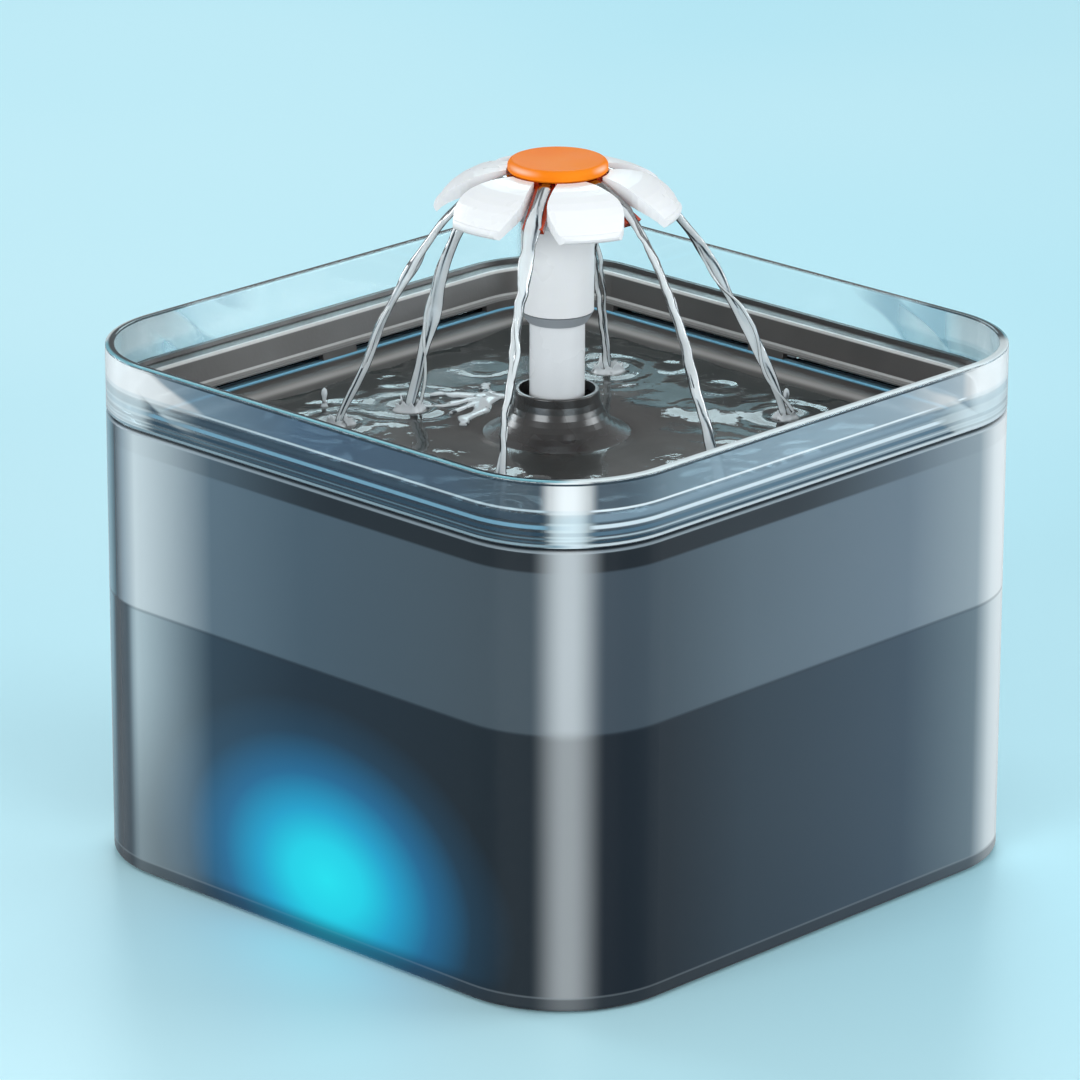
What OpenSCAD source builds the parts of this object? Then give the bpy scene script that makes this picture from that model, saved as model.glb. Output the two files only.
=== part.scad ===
// Pet water fountain: a smoked square tank, a clear collar, a grey drinking tray and a flower spout over a small pump.
// Up is +Z. The origin is the middle of the footprint, on the table. The light in the tank shines at the -Y side.

/* [Body] */
// Width of the square body across its flat sides
body_w = 185; // [175:1:215]
// Radius of the body's upright corners
corner_r = 33; // [30:1:40]
// Height of the collar's rim above the table
body_h = 140; // [136:1:160]
// Height of the collar above its seam with the tank
collar_h = 17.8; // [14:0.2:22]

/* [Tank] */
// Thickness of the tank's side walls
tank_wall = 2.8; // [2.2:0.1:3.6]
// Thickness of the tank's floor
floor_t = 3.2; // [2.6:0.1:4]
// Width of the notch in the back rim that the lead leaves through
notch_w = 9; // [6:0.5:14]
// Depth of that notch below the tank's rim
notch_h = 6.5; // [5:0.5:8]

/* [Collar] */
// Thickness of the clear collar's wall
collar_wall = 2.5; // [2:0.1:3]
// Height of the tray's shelf above the seam
shelf_rise = 3.8; // [3:0.1:5]
// Depth of the skirt inside the tank, below the seam
skirt_h = 6; // [4:0.5:9]

/* [Tray] */
// Wall thickness of the tray
tray_t = 1.6; // [1.2:0.1:2]
// Depth of the tray from its rim to its flat floor
tray_depth = 17.9; // [16:0.1:20]
// Height of one overflow slot
slot_h = 1.7; // [1.2:0.1:2]
// Length of one overflow slot, two on each side
slot_l = 50; // [30:1:54]
// Solid bridge between the two slots on a side
slot_bridge = 12.5; // [8:0.5:20]
// Radius of the hole in the top of the boss
boss_hole_r = 10; // [9.9:0.1:11.5]
// Height of the boss's rim above the tray's floor
boss_h = 15.8; // [12:0.1:18]
// Radius at which the boss runs out into the floor
boss_foot_r = 38; // [32:1:44]

/* [Flower] */
// Number of petals, and of water channels between them
petals = 6; // [5:1:7]
// Radius of the petals' tips
petal_r = 32; // [28:0.5:38]
// Width of the channel between two petals
channel_w = 6.2; // [4.6:0.2:6.6]
// Height of the orange disc's top above the table
top_z = 188.5; // [184:0.5:210]
// Radius of the orange disc
disc_r = 13; // [12:0.5:15]
// Outside radius of the flower's stem
stem_r = 9.5; // [9.4:0.1:10]
// Height of the flower, from the stem's lower end to the disc's top
flower_h = 40.2; // [33:0.1:42]

/* [Pipe] */
// Outside radius of the riser pipe
pipe_r = 7.2; // [6.6:0.1:7.4]
// Wall thickness of the riser pipe
pipe_wall = 2; // [1.6:0.1:2.2]

/* [Filter] */
// Outside radius of the filter case
case_r = 50; // [50:1:56]
// Height of the filter case, without its lid
case_h = 60; // [58:1:66]
// Thickness of the filter cartridge
cartridge_h = 12; // [10:0.5:14]

/* [Pump] */
// Width of the motor housing
motor_w = 42; // [42:1:46]
// Height of the motor housing
motor_h = 23.5; // [23.5:0.5:26]
// Gap between the pump's rear corners and the case's wall
pump_gap = 1.04; // [0.4:0.02:2]
// Outside radius of the volute cover
volute_r = 13.5; // [13.2:0.1:14]
// Radius of the impeller
impeller_r = 8.8; // [7:0.1:9.4]
// Number of impeller blades
blades = 6; // [4:1:8]
// Sideways place of the light from the pump's middle
led_x = 9; // [7:0.5:10]

/* [Hidden] */
$fn = 96;

// Overrun of a cut past the face that it leaves
over = 1;
// Gap where one piece rests on another that it lifts off
seat_gap = 0.3;
// Gap round a piece that slides in another
side_gap = 0.3;
// Radial gap of a push fit
push_gap = 0.1;
// Radial gap of the rotor on its shaft
run_gap = 0.08;

// Colours
smoke = [0.27, 0.34, 0.39, 0.75];
clear = [0.85, 0.95, 1, 0.35];
tray_grey = [0.27, 0.27, 0.27];
petal_white = [0.96, 0.97, 0.98];
pipe_white = [0.93, 0.94, 0.95];
socket_grey = [0.72, 0.75, 0.78];
orange = [1, 0.5, 0.15];
rubber = [0.25, 0.26, 0.28];
case_smoke = [0.8, 0.85, 0.88, 0.6];
felt = [0.95, 0.95, 0.92];
carbon = [0.08, 0.08, 0.09];
resin = [0.85, 0.6, 0.25];
pump_black = [0.1, 0.1, 0.11];
steel = [0.65, 0.66, 0.68];
copper = [0.8, 0.42, 0.2];
board_green = [0.05, 0.35, 0.2];
led_blue = [0.2, 0.8, 1];
ceramic_white = [0.95, 0.93, 0.9];
magnet = [0.2, 0.2, 0.22];
foam = [0.15, 0.2, 0.28];

// Body
side_l = body_w - 2 * corner_r;
seam_z = body_h - collar_h;
foot_proud = 0.5;
floor_z = foot_proud + floor_t;
base_round = 1.2;
floor_round = 4;
rim_round = 0.7;
tank_rim_z = seam_z - seat_gap;
round_steps = 6;

// Feet
foot_r = 7;
foot_recess = 1.2;
foot_inset = 24;
foot_at = body_w / 2 - foot_inset;

// Collar
shelf_z = seam_z + shelf_rise;
shelf_t = 2;
shelf_w = 3.5;
shelf_in = collar_wall + shelf_w;
shelf_round = 1.5;
skirt_t = 1.8;
skirt_out = tank_wall + side_gap + push_gap;
skirt_z = seam_z - skirt_h;
skirt_round = 0.5;

// Tray
tray_out = collar_wall + side_gap;
tray_seat_z = shelf_z + seat_gap;
tray_rim_h = 2.6;
tray_rim_w = 1.4;
tray_rim_drop = 1;
tray_rim_lean = 0.4;
tray_bevel = 1.6;
tray_rim_z = tray_seat_z + tray_rim_h;
tray_shelf_fall = 0.6;
tray_wall_in = shelf_in + side_gap;
tray_wall_lean = 1.8;
tray_ledge_w = 1.8;
tray_riser_h = 2.8;
tray_riser_lean = 0.5;
tray_floor_z = tray_rim_z - tray_depth;
tray_dish_drop = 6.5;
tray_dish_z = tray_floor_z + tray_dish_drop;
tray_ledge_z = tray_dish_z + tray_riser_h;
tray_shelf_z = tray_rim_z - tray_rim_drop - tray_shelf_fall;
tray_rim_in = tray_out + tray_rim_w;
tray_shelf_in = tray_wall_in + tray_t;
tray_wall_foot = tray_shelf_in + tray_wall_lean;
tray_ledge_in = tray_wall_foot + tray_ledge_w;
tray_dish_in = tray_ledge_in + tray_riser_lean;
slot_sill = 0.3;
dish_steps = 12;

// Boss
boss_top_z = tray_floor_z + boss_h;
boss_lip = 1;
boss_lip_round = 0.45;
boss_t = tray_t;
boss_steps = 14;
boss_lap = 1;
// Where the boss's flare bends, as shares of its width and height
boss_flare_shares = [[0.03, 0.4], [0.22, 0.16]];

// Flower
petal_angle = 360 / petals;
stem_foot_z = top_z - flower_h;
socket_cone_h = 2.7;
socket_foot_z = stem_foot_z - socket_cone_h - seat_gap;
socket_grip = 6;
socket_r = 8.3;
socket_top_z = stem_foot_z + socket_grip;
socket_bore_r = pipe_r + push_gap;
socket_foot_r = socket_bore_r + 2 * side_gap;
disc_h = 3.1;
disc_z = top_z - disc_h;
disc_bevel = 1.6;
disc_round = 0.5;
core_t = 2;
hub_top_z = disc_z - core_t - seat_gap;
hub_h = 9.2;
hub_z = hub_top_z - hub_h;
hub_r = 11.5;
hub_chamfer = hub_r - stem_r;
stem_bore_r = pipe_r + side_gap + push_gap;
hub_neck = 5.2;
stem_bore_top = hub_top_z - hub_neck;
hub_bore_r = 5.4;
petal_root_z = disc_z + 0.5 * seat_gap;
petal_root_t = 5.4;
petal_tip_drop = 8.6;
petal_tip_t = 2.4;
petal_tip_round = 0.9;
petal_corner_r = 7.5;
petal_steps = 8;
tip_steps = 4;
// Where the top of a petal bends, as shares of its length and its drop
petal_bend_shares = [[0.46, 0], [0.86, 0.36]];
right_angle = 90;
disc_seat_r = disc_r + side_gap;

// Orange core
core_r = 12;
ramp_w = channel_w - 2 * side_gap - 2 * push_gap;
ramp_r = 27;
ramp_bend_r = core_r + side_gap;
ramp_root_r = 8.5;
ramp_fall = 7.2;
ramp_t = 1.6;
groove_t = 1;
cap_stem_r = 4.9;
cap_fin_t = 1.6;
cap_fins = 3;
cap_stem_h = 7.2;

// Filter case
case_wall = 2;
case_z = floor_z + seat_gap;
case_top_z = case_z + case_h;
well_r = case_r - case_wall;
well_spare = 1.7;
well_h = cartridge_h + well_spare;
well_z = case_top_z - well_h;
well_t = 2;
guide_r = 9;
guide_t = 1.4;
grille_slots = 24;
grille_w = 3;
grille_margin = 2.5;
drain_slots = 12;
drain_w = 3;
drain_margin_in = 4.6;
drain_margin_out = 5;
drain_in_r = guide_r + guide_t + drain_margin_in;
drain_l = well_r - drain_margin_out - drain_in_r;
case_arch_w = 10;
case_arch_h = 9;
case_round = 0.8;
ring_h = 2.5;
ring_t = 1.6;

// Lid
lid_t = 2.2;
lid_r = well_r - side_gap;
lid_slots = 18;
lid_slot_w = 2.6;
lid_tab_h = 5;
lid_tab_r = 2.8;
lid_tab_at = 14;
lid_hole_r = guide_r + guide_t + side_gap;
lid_margin_in = 6.3;
lid_margin_out = 4.7;
lid_slot_in_r = lid_hole_r + lid_margin_in;
lid_slot_l = lid_r - lid_margin_out - lid_slot_in_r;

// Cartridge
cartridge_z = well_z + seat_gap;
cartridge_r = well_r - 2 * side_gap;
cartridge_in_r = guide_r + guide_t + 2 * side_gap;
cartridge_top_z = cartridge_z + cartridge_h;
frame_t = 1.4;
frame_spokes = 8;
frame_spoke_w = 2;
media_r = cartridge_r - frame_t;
media_in_r = cartridge_in_r + frame_t;
media_z = cartridge_z + frame_t;
media_h = cartridge_h - frame_t;
// Shares of the media's height: cotton, carbon, resin, cotton
media_shares = [0.14, 0.36, 0.36, 0.14];
lid_z = cartridge_top_z + seat_gap;

// Pump
axis_z = 21;
motor_raise = 0.25;
motor_z = axis_z - motor_h / 2 + motor_raise;
motor_round = 3;
motor_wall = 2;
motor_front_y = -8;
end_cover_t = 2;
pump_reach = sqrt(pow(well_r - pump_gap, 2) - pow(motor_w / 2, 2));
motor_l = pump_reach - end_cover_t + motor_front_y;
motor_back_y = motor_front_y - motor_l;
flange_t = 1.5;
flange_lip = 0.5;
flange_r = volute_r + flange_lip;
well_tube_r = 6.8;
rotor_well_r = 5.6;
board_room = 6;
rotor_well_y = motor_back_y + board_room;
rotor_end_t = 1.4;
end_lip = 1.2;
led_z = 20;
led_r = 1.5;
led_l = 2.6;
led_collar_r = 1.9;
led_collar_h = 0.7;
lens_r = 3.2;
lens_dome = 1.4;
board_t = 1.4;
board_w = 26;
board_h = 15;
board_gap = 0.4;
board_x1 = motor_w / 2 - motor_wall - 2 * board_gap;
board_y = rotor_well_y - rotor_end_t - board_gap;
coil_over = 3;
coil_back_gap = 2.8;
coil_front_gap = 3;
stator_y = board_y + coil_back_gap + coil_over;
stator_l = motor_front_y - motor_wall - coil_front_gap - coil_over - stator_y;
stator_x0 = -10.5;
stator_x1 = 16;
stator_z0 = 12.4;
stator_h = 17.2;
stator_window = [8.6, 13];
stator_bar = 3.4;
coil_x = [9, 18.6];
coil_gap = 0.2;
gland_r = 4;
gland_tip_r = 3;
gland_l = 9;
gland_bore_r = 2;
gland_in = 10;
gland_y = motor_back_y + gland_in;
gland_z = 25;
gland_bore_l = 7;
gland_seat_r = 4.6;

// Volute
cover_wall = 1.8;
cover_in_r = volute_r + side_gap;
cover_r = cover_in_r + cover_wall;
volute_front_y = motor_front_y + flange_t;
volute_l = 16.5;
volute_back_y = volute_front_y + volute_l;
volute_in_r = 11;
volute_face_t = 2.4;
eye_r = 5.6;
spider_r = 3.8;
spider_w = 1.6;
spout_wall = 1.6;
spout_r = pipe_r - pipe_wall - push_gap;
spout_in_r = spout_r - spout_wall;
spout_shoulder_r = -volute_front_y - push_gap;
spout_seat_z = axis_z + cover_r + 2 * side_gap;
spout_top_z = 48;
seal_at_r = 12.2;
seal_wire_r = 0.75;
seal_groove_w = 1.7;
seal_groove_d = 2 * seal_wire_r;

// Running parts
shaft_r = 1;
shaft_end_gap = 0.3;
shaft_back_y = rotor_well_y + shaft_end_gap;
bush_l = 2.4;
bush_r = 2.9;
shaft_front_y = volute_back_y - shaft_end_gap;
rotor_r = 5;
rotor_gap = 0.6;
rotor_y = rotor_well_y + bush_l + rotor_gap;
rotor_front_gap = 0.2;
rotor_front_y = motor_front_y - rotor_front_gap;
tail_r = 2.4;
impeller_plate_t = 1.2;
impeller_gap = 0.7;
impeller_y = volute_front_y + impeller_gap;
impeller_l = 8.4;
impeller_front_y = impeller_y + impeller_l;
impeller_hub_r = 3;
blade_t = 1;

// Intake cover
cover_y = spout_shoulder_r + side_gap;
cover_l = 20;
cover_slots = 10;
cover_slot_w = 2.4;
cover_slot_l = 9;
cover_face_slots = 5;
cover_face_pitch = 4.6;
sponge_gap = 0.6;

// Suction cups
cup_margin = 1;
cup_apart = 7;
cup_r = (motor_l - cup_margin - cup_apart) / 4;
cup_neck_r = 2.6;
cup_lip = 0.8;
cup_x = 13;
cup_ys = [motor_back_y + cup_margin + cup_r, motor_front_y - cup_r];

// Riser pipe
pipe_foot_z = spout_seat_z + seat_gap;
pipe_grip = 7.7;
pipe_top_z = socket_foot_z + pipe_grip;
pipe_chamfer = 0.6;

function arc(centre, r, from, to, steps) =
    [for (i = [0:steps]) let (a = from + (to - from) * i / steps) centre + r * [cos(a), sin(a)]];

function bezier(p0, p1, p2, p3, steps) =
    [for (i = [0:steps]) let (t = i / steps, s = 1 - t)
        s * s * s * p0 + 3 * s * s * t * p1 + 3 * s * t * t * p2 + t * t * t * p3];

// Sweeps a section round the body's plan. Its points are [distance in from the outside face, height].
module swept(section) {
    for (quarter = [0:3]) rotate([0, 0, 90 * quarter]) {
        translate([side_l / 2, side_l / 2, 0])
            rotate_extrude(angle = 90)
                polygon([for (p = section) [corner_r - p[0], p[1]]]);
        translate([body_w / 2, side_l / 2, 0])
            rotate([90, 0, 0])
                linear_extrude(side_l)
                    polygon([for (p = section) [-p[0], p[1]]]);
    }
}

module centre_block(z0, z1) {
    translate([-side_l / 2, -side_l / 2, z0]) cube([side_l, side_l, z1 - z0]);
}

module at_corners(d) {
    for (x = [-d, d], y = [-d, d]) translate([x, y, 0]) children();
}

module tube(r_out, r_in, h) {
    difference() {
        cylinder(r = r_out, h = h);
        translate([0, 0, -over]) cylinder(r = r_in, h = h + 2 * over);
    }
}

// Stands a shape made along +Z so that it points along +Y, at the pump's axis
module along_y(y) {
    translate([0, y, axis_z]) rotate([-90, 0, 0]) children();
}

module rounded_bar(x0, x1, z0, z1, r, y0, y1) {
    translate([0, y1, 0]) rotate([90, 0, 0]) linear_extrude(y1 - y0) {
        translate([x0 + r, z0]) square([x1 - x0 - 2 * r, z1 - z0]);
        translate([x0, z0 + r]) square([x1 - x0, z1 - z0 - 2 * r]);
        for (x = [x0 + r, x1 - r], z = [z0 + r, z1 - r]) translate([x, z]) circle(r = r);
    }
}

module tank() {
    section = concat(
        [[corner_r, foot_proud]],
        arc([base_round, foot_proud + base_round], base_round, -90, -180, round_steps),
        arc([rim_round, tank_rim_z - rim_round], rim_round, 180, 90, round_steps),
        arc([tank_wall - rim_round, tank_rim_z - rim_round], rim_round, 90, 0, round_steps),
        arc([tank_wall + floor_round, floor_z + floor_round], floor_round, 180, 270, round_steps),
        [[corner_r, floor_z]]);
    color(smoke) difference() {
        union() {
            swept(section);
            centre_block(foot_proud, floor_z);
            translate([0, 0, floor_z - over])
                tube(case_r + side_gap + ring_t, case_r + side_gap, ring_h + over);
        }
        at_corners(foot_at) translate([0, 0, foot_proud - over])
            cylinder(r = foot_r + push_gap, h = foot_recess + over);
        translate([-notch_w / 2, body_w / 2 - tank_wall - over, tank_rim_z - notch_h])
            cube([notch_w, tank_wall + 2 * over, notch_h + over]);
    }
}

module feet() {
    color(rubber) at_corners(foot_at) rotate_extrude()
        polygon(concat([[0, 0], [foot_r - foot_proud, 0]],
            [[foot_r, foot_proud], [foot_r, foot_proud + foot_recess], [0, foot_proud + foot_recess]]));
}

module collar() {
    section = concat(
        [[rim_round, seam_z], [0, seam_z + rim_round]],
        arc([rim_round, body_h - rim_round], rim_round, 180, 90, round_steps),
        arc([collar_wall - rim_round, body_h - rim_round], rim_round, 90, 0, round_steps),
        arc([collar_wall + shelf_round, shelf_z + shelf_round], shelf_round, 180, 270, round_steps),
        [[shelf_in, shelf_z], [shelf_in, shelf_z - shelf_t],
            [skirt_out + skirt_t, shelf_z - shelf_t - (shelf_in - skirt_out - skirt_t)],
            [skirt_out + skirt_t, skirt_z], [skirt_out + skirt_round, skirt_z],
            [skirt_out, skirt_z + skirt_round], [skirt_out, seam_z]]);
    color(clear) difference() {
        swept(section);
        translate([-notch_w / 2, body_w / 2 - skirt_out - skirt_t - over, skirt_z - over])
            cube([notch_w, skirt_t + over + push_gap, seam_z - skirt_z + over]);
    }
}

// The dish from the slots down to the flat floor, as a smooth S
function dish(inset0, z0, z1) =
    [for (i = [0:dish_steps]) let (s = i / dish_steps)
        [inset0 + (corner_r - inset0) * s, z0 + (z1 - z0) * (1 - cos(180 * s)) / 2]];

module boss() {
    wide = boss_foot_r - boss_hole_r - boss_lip;
    lip_z = boss_top_z - boss_lip_round;
    tall = lip_z - tray_floor_z;
    foot = [boss_foot_r, tray_floor_z];
    head = [boss_hole_r + boss_lip, lip_z];
    bends = [for (b = boss_flare_shares) [head[0] + wide * b[0], tray_floor_z + tall * b[1]]];
    flare = bezier(head, bends[0], bends[1], foot, boss_steps);
    inner = [for (i = [boss_steps:-1:0]) flare[i] - [boss_t * (1 - i / boss_steps), boss_t]];
    rotate_extrude()
        polygon(concat(
            arc([boss_hole_r + boss_lip - boss_lip_round, lip_z], boss_lip_round, 90, 0, round_steps),
            [for (i = [1:boss_steps]) flare[i]],
            [for (i = [0:boss_steps - 1]) [max(inner[i][0], boss_hole_r + boss_lip_round / 2), inner[i][1]]],
            [[boss_hole_r, lip_z - boss_t], [boss_hole_r, boss_top_z]]));
}

module tray() {
    section = concat(
        [[tray_out, tray_seat_z + tray_bevel], [tray_out, tray_rim_z], [tray_rim_in, tray_rim_z],
            [tray_rim_in + tray_rim_lean, tray_rim_z - tray_rim_drop],
            [tray_shelf_in, tray_shelf_z],
            [tray_wall_foot, tray_ledge_z], [tray_ledge_in, tray_ledge_z]],
        dish(tray_dish_in, tray_dish_z, tray_floor_z),
        [for (i = [dish_steps:-1:0]) dish(tray_dish_in - tray_t, tray_dish_z - tray_t, tray_floor_z - tray_t)[i]],
        [[tray_ledge_in - tray_t, tray_ledge_z - tray_t], [tray_wall_foot - tray_t, tray_ledge_z - tray_t],
            [tray_wall_in, tray_seat_z], [tray_out + tray_bevel, tray_seat_z]]);
    slot_z = tray_dish_z + slot_sill;
    color(tray_grey) difference() {
        union() {
            swept(section);
            difference() {
                centre_block(tray_floor_z - tray_t, tray_floor_z);
                translate([0, 0, tray_floor_z - tray_t - over])
                    cylinder(r = boss_foot_r - boss_lap, h = tray_t + 2 * over);
            }
            boss();
        }
        for (side = [0:3], half = [0, 1]) rotate([0, 0, 90 * side]) mirror([0, half, 0])
            translate([body_w / 2 - tray_dish_in - over / 2, slot_bridge / 2, slot_z])
                cube([tray_dish_in - tray_wall_foot + tray_t + 3 * over / 2, slot_l, slot_h]);
    }
}

module riser_pipe() {
    color(pipe_white) rotate_extrude()
        polygon([[pipe_r - pipe_wall, pipe_foot_z], [pipe_r - pipe_chamfer, pipe_foot_z],
            [pipe_r, pipe_foot_z + pipe_chamfer], [pipe_r, pipe_top_z - pipe_chamfer],
            [pipe_r - pipe_chamfer, pipe_top_z], [pipe_r - pipe_wall, pipe_top_z]]);
}

module flower_socket() {
    color(socket_grey) rotate_extrude()
        polygon([[socket_bore_r, socket_foot_z], [socket_foot_r, socket_foot_z],
            [stem_r, socket_foot_z + socket_cone_h], [socket_r, socket_foot_z + socket_cone_h],
            [socket_r, socket_top_z], [socket_bore_r, socket_top_z]]);
}

// Plan of one petal along +X: sides parallel to the channels, and a round-cornered tip
module petal_plan() {
    half = channel_w / 2;
    turn = petal_angle / 2;
    centre_r = petal_r + over - petal_corner_r;
    lean = turn - asin((half + petal_corner_r) / centre_r);
    corner = centre_r * [cos(lean), sin(lean)];
    upper = concat(
        arc([0, 0], petal_r + over, 0, lean * (1 - 1 / tip_steps), tip_steps - 1),
        arc(corner, petal_corner_r, lean, turn + right_angle, petal_steps),
        [stem_r * [cos(turn), sin(turn)] + half * [sin(turn), -cos(turn)]]);
    polygon(concat([for (i = [len(upper) - 1:-1:1]) [upper[i][0], -upper[i][1]]], upper));
}

// Section of the whole dome of petals: domed above, hollow below, round at the tip
module petal_dome() {
    root = [disc_r, petal_root_z];
    reach = petal_r - petal_tip_round - disc_r;
    bends = [for (b = petal_bend_shares) root + [reach * b[0], -petal_tip_drop * b[1]]];
    top = bezier(root, bends[0], bends[1], root + [reach, -petal_tip_drop], petal_steps);
    below = [for (i = [petal_steps:-1:0]) top[i] - [0, petal_root_t + (petal_tip_t - petal_root_t) * i / petal_steps]];
    nose = [for (f = [1:round_steps - 1]) let (a = 90 - 180 * f / round_steps)
        [petal_r - petal_tip_round + petal_tip_round * cos(a),
            root[1] - petal_tip_drop - petal_tip_t / 2 + petal_tip_t / 2 * sin(a)]];
    rotate_extrude()
        polygon(concat([[hub_bore_r, petal_root_z]], top, nose, below, [[hub_bore_r, petal_root_z - petal_root_t]]));
}

module flower() {
    color(petal_white) difference() {
        union() {
            rotate_extrude()
                polygon([[0, stem_foot_z], [stem_r, stem_foot_z], [stem_r, hub_z - hub_chamfer],
                    [hub_r, hub_z], [hub_r, hub_top_z], [0, hub_top_z]]);
            intersection() {
                petal_dome();
                for (i = [0:petals - 1]) rotate([0, 0, petal_angle * (i + 1 / 2)])
                    translate([0, 0, hub_z - petal_root_t])
                        linear_extrude(top_z - hub_z + petal_root_t) petal_plan();
            }
        }
        translate([0, 0, stem_foot_z - over]) cylinder(r = socket_r + side_gap, h = socket_grip + seat_gap + over);
        translate([0, 0, stem_foot_z]) cylinder(r = stem_bore_r, h = stem_bore_top - stem_foot_z);
        translate([0, 0, stem_foot_z]) cylinder(r = hub_bore_r, h = hub_top_z - stem_foot_z + over);
        translate([0, 0, hub_top_z]) cylinder(r = disc_seat_r, h = top_z - hub_top_z);
    }
}

module flower_core() {
    z0 = hub_top_z + seat_gap;
    floor_top = z0 + groove_t;
    color(orange) difference() {
        union() {
            translate([0, 0, z0]) cylinder(r = core_r, h = core_t);
            for (i = [0:petals - 1]) rotate([0, 0, petal_angle * i])
                translate([0, ramp_w / 2, 0]) rotate([90, 0, 0]) linear_extrude(ramp_w)
                    polygon([[ramp_root_r, z0], [ramp_bend_r, z0],
                        [ramp_r - ramp_t, floor_top - ramp_fall - ramp_t], [ramp_r, floor_top - ramp_fall],
                        [ramp_bend_r, floor_top], [ramp_root_r, floor_top]]);
        }
        translate([0, 0, z0 - over]) cylinder(r = hub_bore_r, h = core_t + 2 * over);
        for (i = [0:petals - 1]) rotate([0, 0, petal_angle * i])
            translate([0, -ramp_w / 2 + groove_t / 2, floor_top])
                cube([core_r + over, ramp_w - groove_t, core_t]);
    }
}

module centre_cap() {
    color(orange) {
        rotate_extrude()
            polygon(concat(
                [[0, disc_z], [disc_r - disc_round, disc_z], [disc_r, disc_z + disc_round]],
                arc([disc_r - disc_bevel, top_z - disc_bevel], disc_bevel, 0, 90, round_steps),
                [[0, top_z]]));
        intersection() {
            translate([0, 0, disc_z - cap_stem_h]) cylinder(r = cap_stem_r, h = cap_stem_h + over);
            for (i = [0:cap_fins - 1]) rotate([0, 0, 180 * i / cap_fins])
                translate([-cap_stem_r, -cap_fin_t / 2, disc_z - cap_stem_h])
                    cube([2 * cap_stem_r, cap_fin_t, cap_stem_h + disc_round]);
        }
    }
}

module filter_case() {
    grille_h = well_h - 2 * grille_margin;
    color(case_smoke) difference() {
        rotate_extrude()
            polygon(concat(
                [[well_r, case_z], [case_r, case_z]],
                arc([case_r - case_round, case_top_z - case_round], case_round, 0, 90, round_steps),
                [[well_r, case_top_z], [well_r, well_z], [guide_r + guide_t, well_z],
                    [guide_r + guide_t, case_top_z], [guide_r, case_top_z],
                    [guide_r, well_z - well_t], [well_r, well_z - well_t]]));
        for (i = [0:grille_slots - 1]) rotate([0, 0, 360 * (i + 1 / 2) / grille_slots])
            translate([well_r - over, -grille_w / 2, well_z + grille_margin])
                cube([case_r - well_r + 2 * over, grille_w, grille_h]);
        for (i = [0:drain_slots - 1]) rotate([0, 0, 360 * i / drain_slots])
            translate([drain_in_r, -drain_w / 2, well_z - well_t - over])
                cube([drain_l, drain_w, well_t + 2 * over]);
        translate([-case_arch_w / 2, well_r - over, case_z - over])
            cube([case_arch_w, case_wall + 2 * over, case_arch_h - case_arch_w / 2 + over]);
        translate([0, well_r - over, case_z + case_arch_h - case_arch_w / 2]) rotate([-90, 0, 0])
            cylinder(r = case_arch_w / 2, h = case_wall + 2 * over);
    }
}

module filter_lid() {
    color(case_smoke) difference() {
        union() {
            translate([0, 0, lid_z]) cylinder(r = lid_r, h = lid_t);
            for (side = [0, 1]) mirror([side, 0, 0])
                translate([lid_tab_at, 0, lid_z + lid_t / 2]) cylinder(r = lid_tab_r, h = lid_tab_h);
        }
        translate([0, 0, lid_z - over]) cylinder(r = lid_hole_r, h = lid_tab_h + lid_t + 2 * over);
        for (i = [0:lid_slots - 1]) rotate([0, 0, 360 * (i + 1 / 2) / lid_slots])
            translate([lid_slot_in_r, -lid_slot_w / 2, lid_z - over])
                cube([lid_slot_l, lid_slot_w, lid_t + 2 * over]);
    }
}

module cartridge_frame() {
    color(petal_white) {
        translate([0, 0, cartridge_z]) tube(cartridge_r, media_r, cartridge_h);
        translate([0, 0, cartridge_z]) tube(media_in_r, cartridge_in_r, cartridge_h);
        for (i = [0:frame_spokes - 1]) rotate([0, 0, 360 * i / frame_spokes])
            translate([media_in_r - frame_t / 2, -frame_spoke_w / 2, cartridge_z])
                cube([media_r - media_in_r + frame_t, frame_spoke_w, frame_t]);
    }
}

function media_floor(layer, i = 0) = i >= layer ? media_z : media_floor(layer, i + 1) + media_h * media_shares[i];

module media(layer) {
    translate([0, 0, media_floor(layer)])
        tube(media_r - push_gap, media_in_r + push_gap, media_h * media_shares[layer]);
}

module cotton_bottom() {
    color(felt) media(0);
}

module carbon_layer() {
    color(carbon) media(1);
}

module resin_layer() {
    color(resin) media(2);
}

module cotton_top() {
    color(felt) media(3);
}

module motor_housing() {
    half = motor_w / 2;
    color(pump_black) difference() {
        union() {
            difference() {
                rounded_bar(-half, half, motor_z, motor_z + motor_h, motor_round, motor_back_y, motor_front_y);
                rounded_bar(-half + motor_wall, half - motor_wall, motor_z + motor_wall,
                    motor_z + motor_h - motor_wall, motor_round - motor_wall / 2,
                    motor_back_y - over, motor_front_y - motor_wall);
            }
            along_y(rotor_well_y - rotor_end_t)
                cylinder(r = well_tube_r, h = motor_front_y - rotor_well_y + rotor_end_t);
            along_y(motor_front_y - motor_wall) cylinder(r = flange_r, h = motor_wall + flange_t);
        }
        along_y(rotor_well_y) cylinder(r = rotor_well_r, h = volute_front_y - rotor_well_y + over);
        along_y(volute_front_y - seal_groove_d) tube(seal_at_r + seal_groove_w / 2,
            seal_at_r - seal_groove_w / 2, seal_groove_d + over);
        translate([-half - over, gland_y, gland_z]) rotate([0, 90, 0])
            cylinder(r = gland_tip_r + push_gap, h = motor_wall + 2 * over);
    }
}

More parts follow.
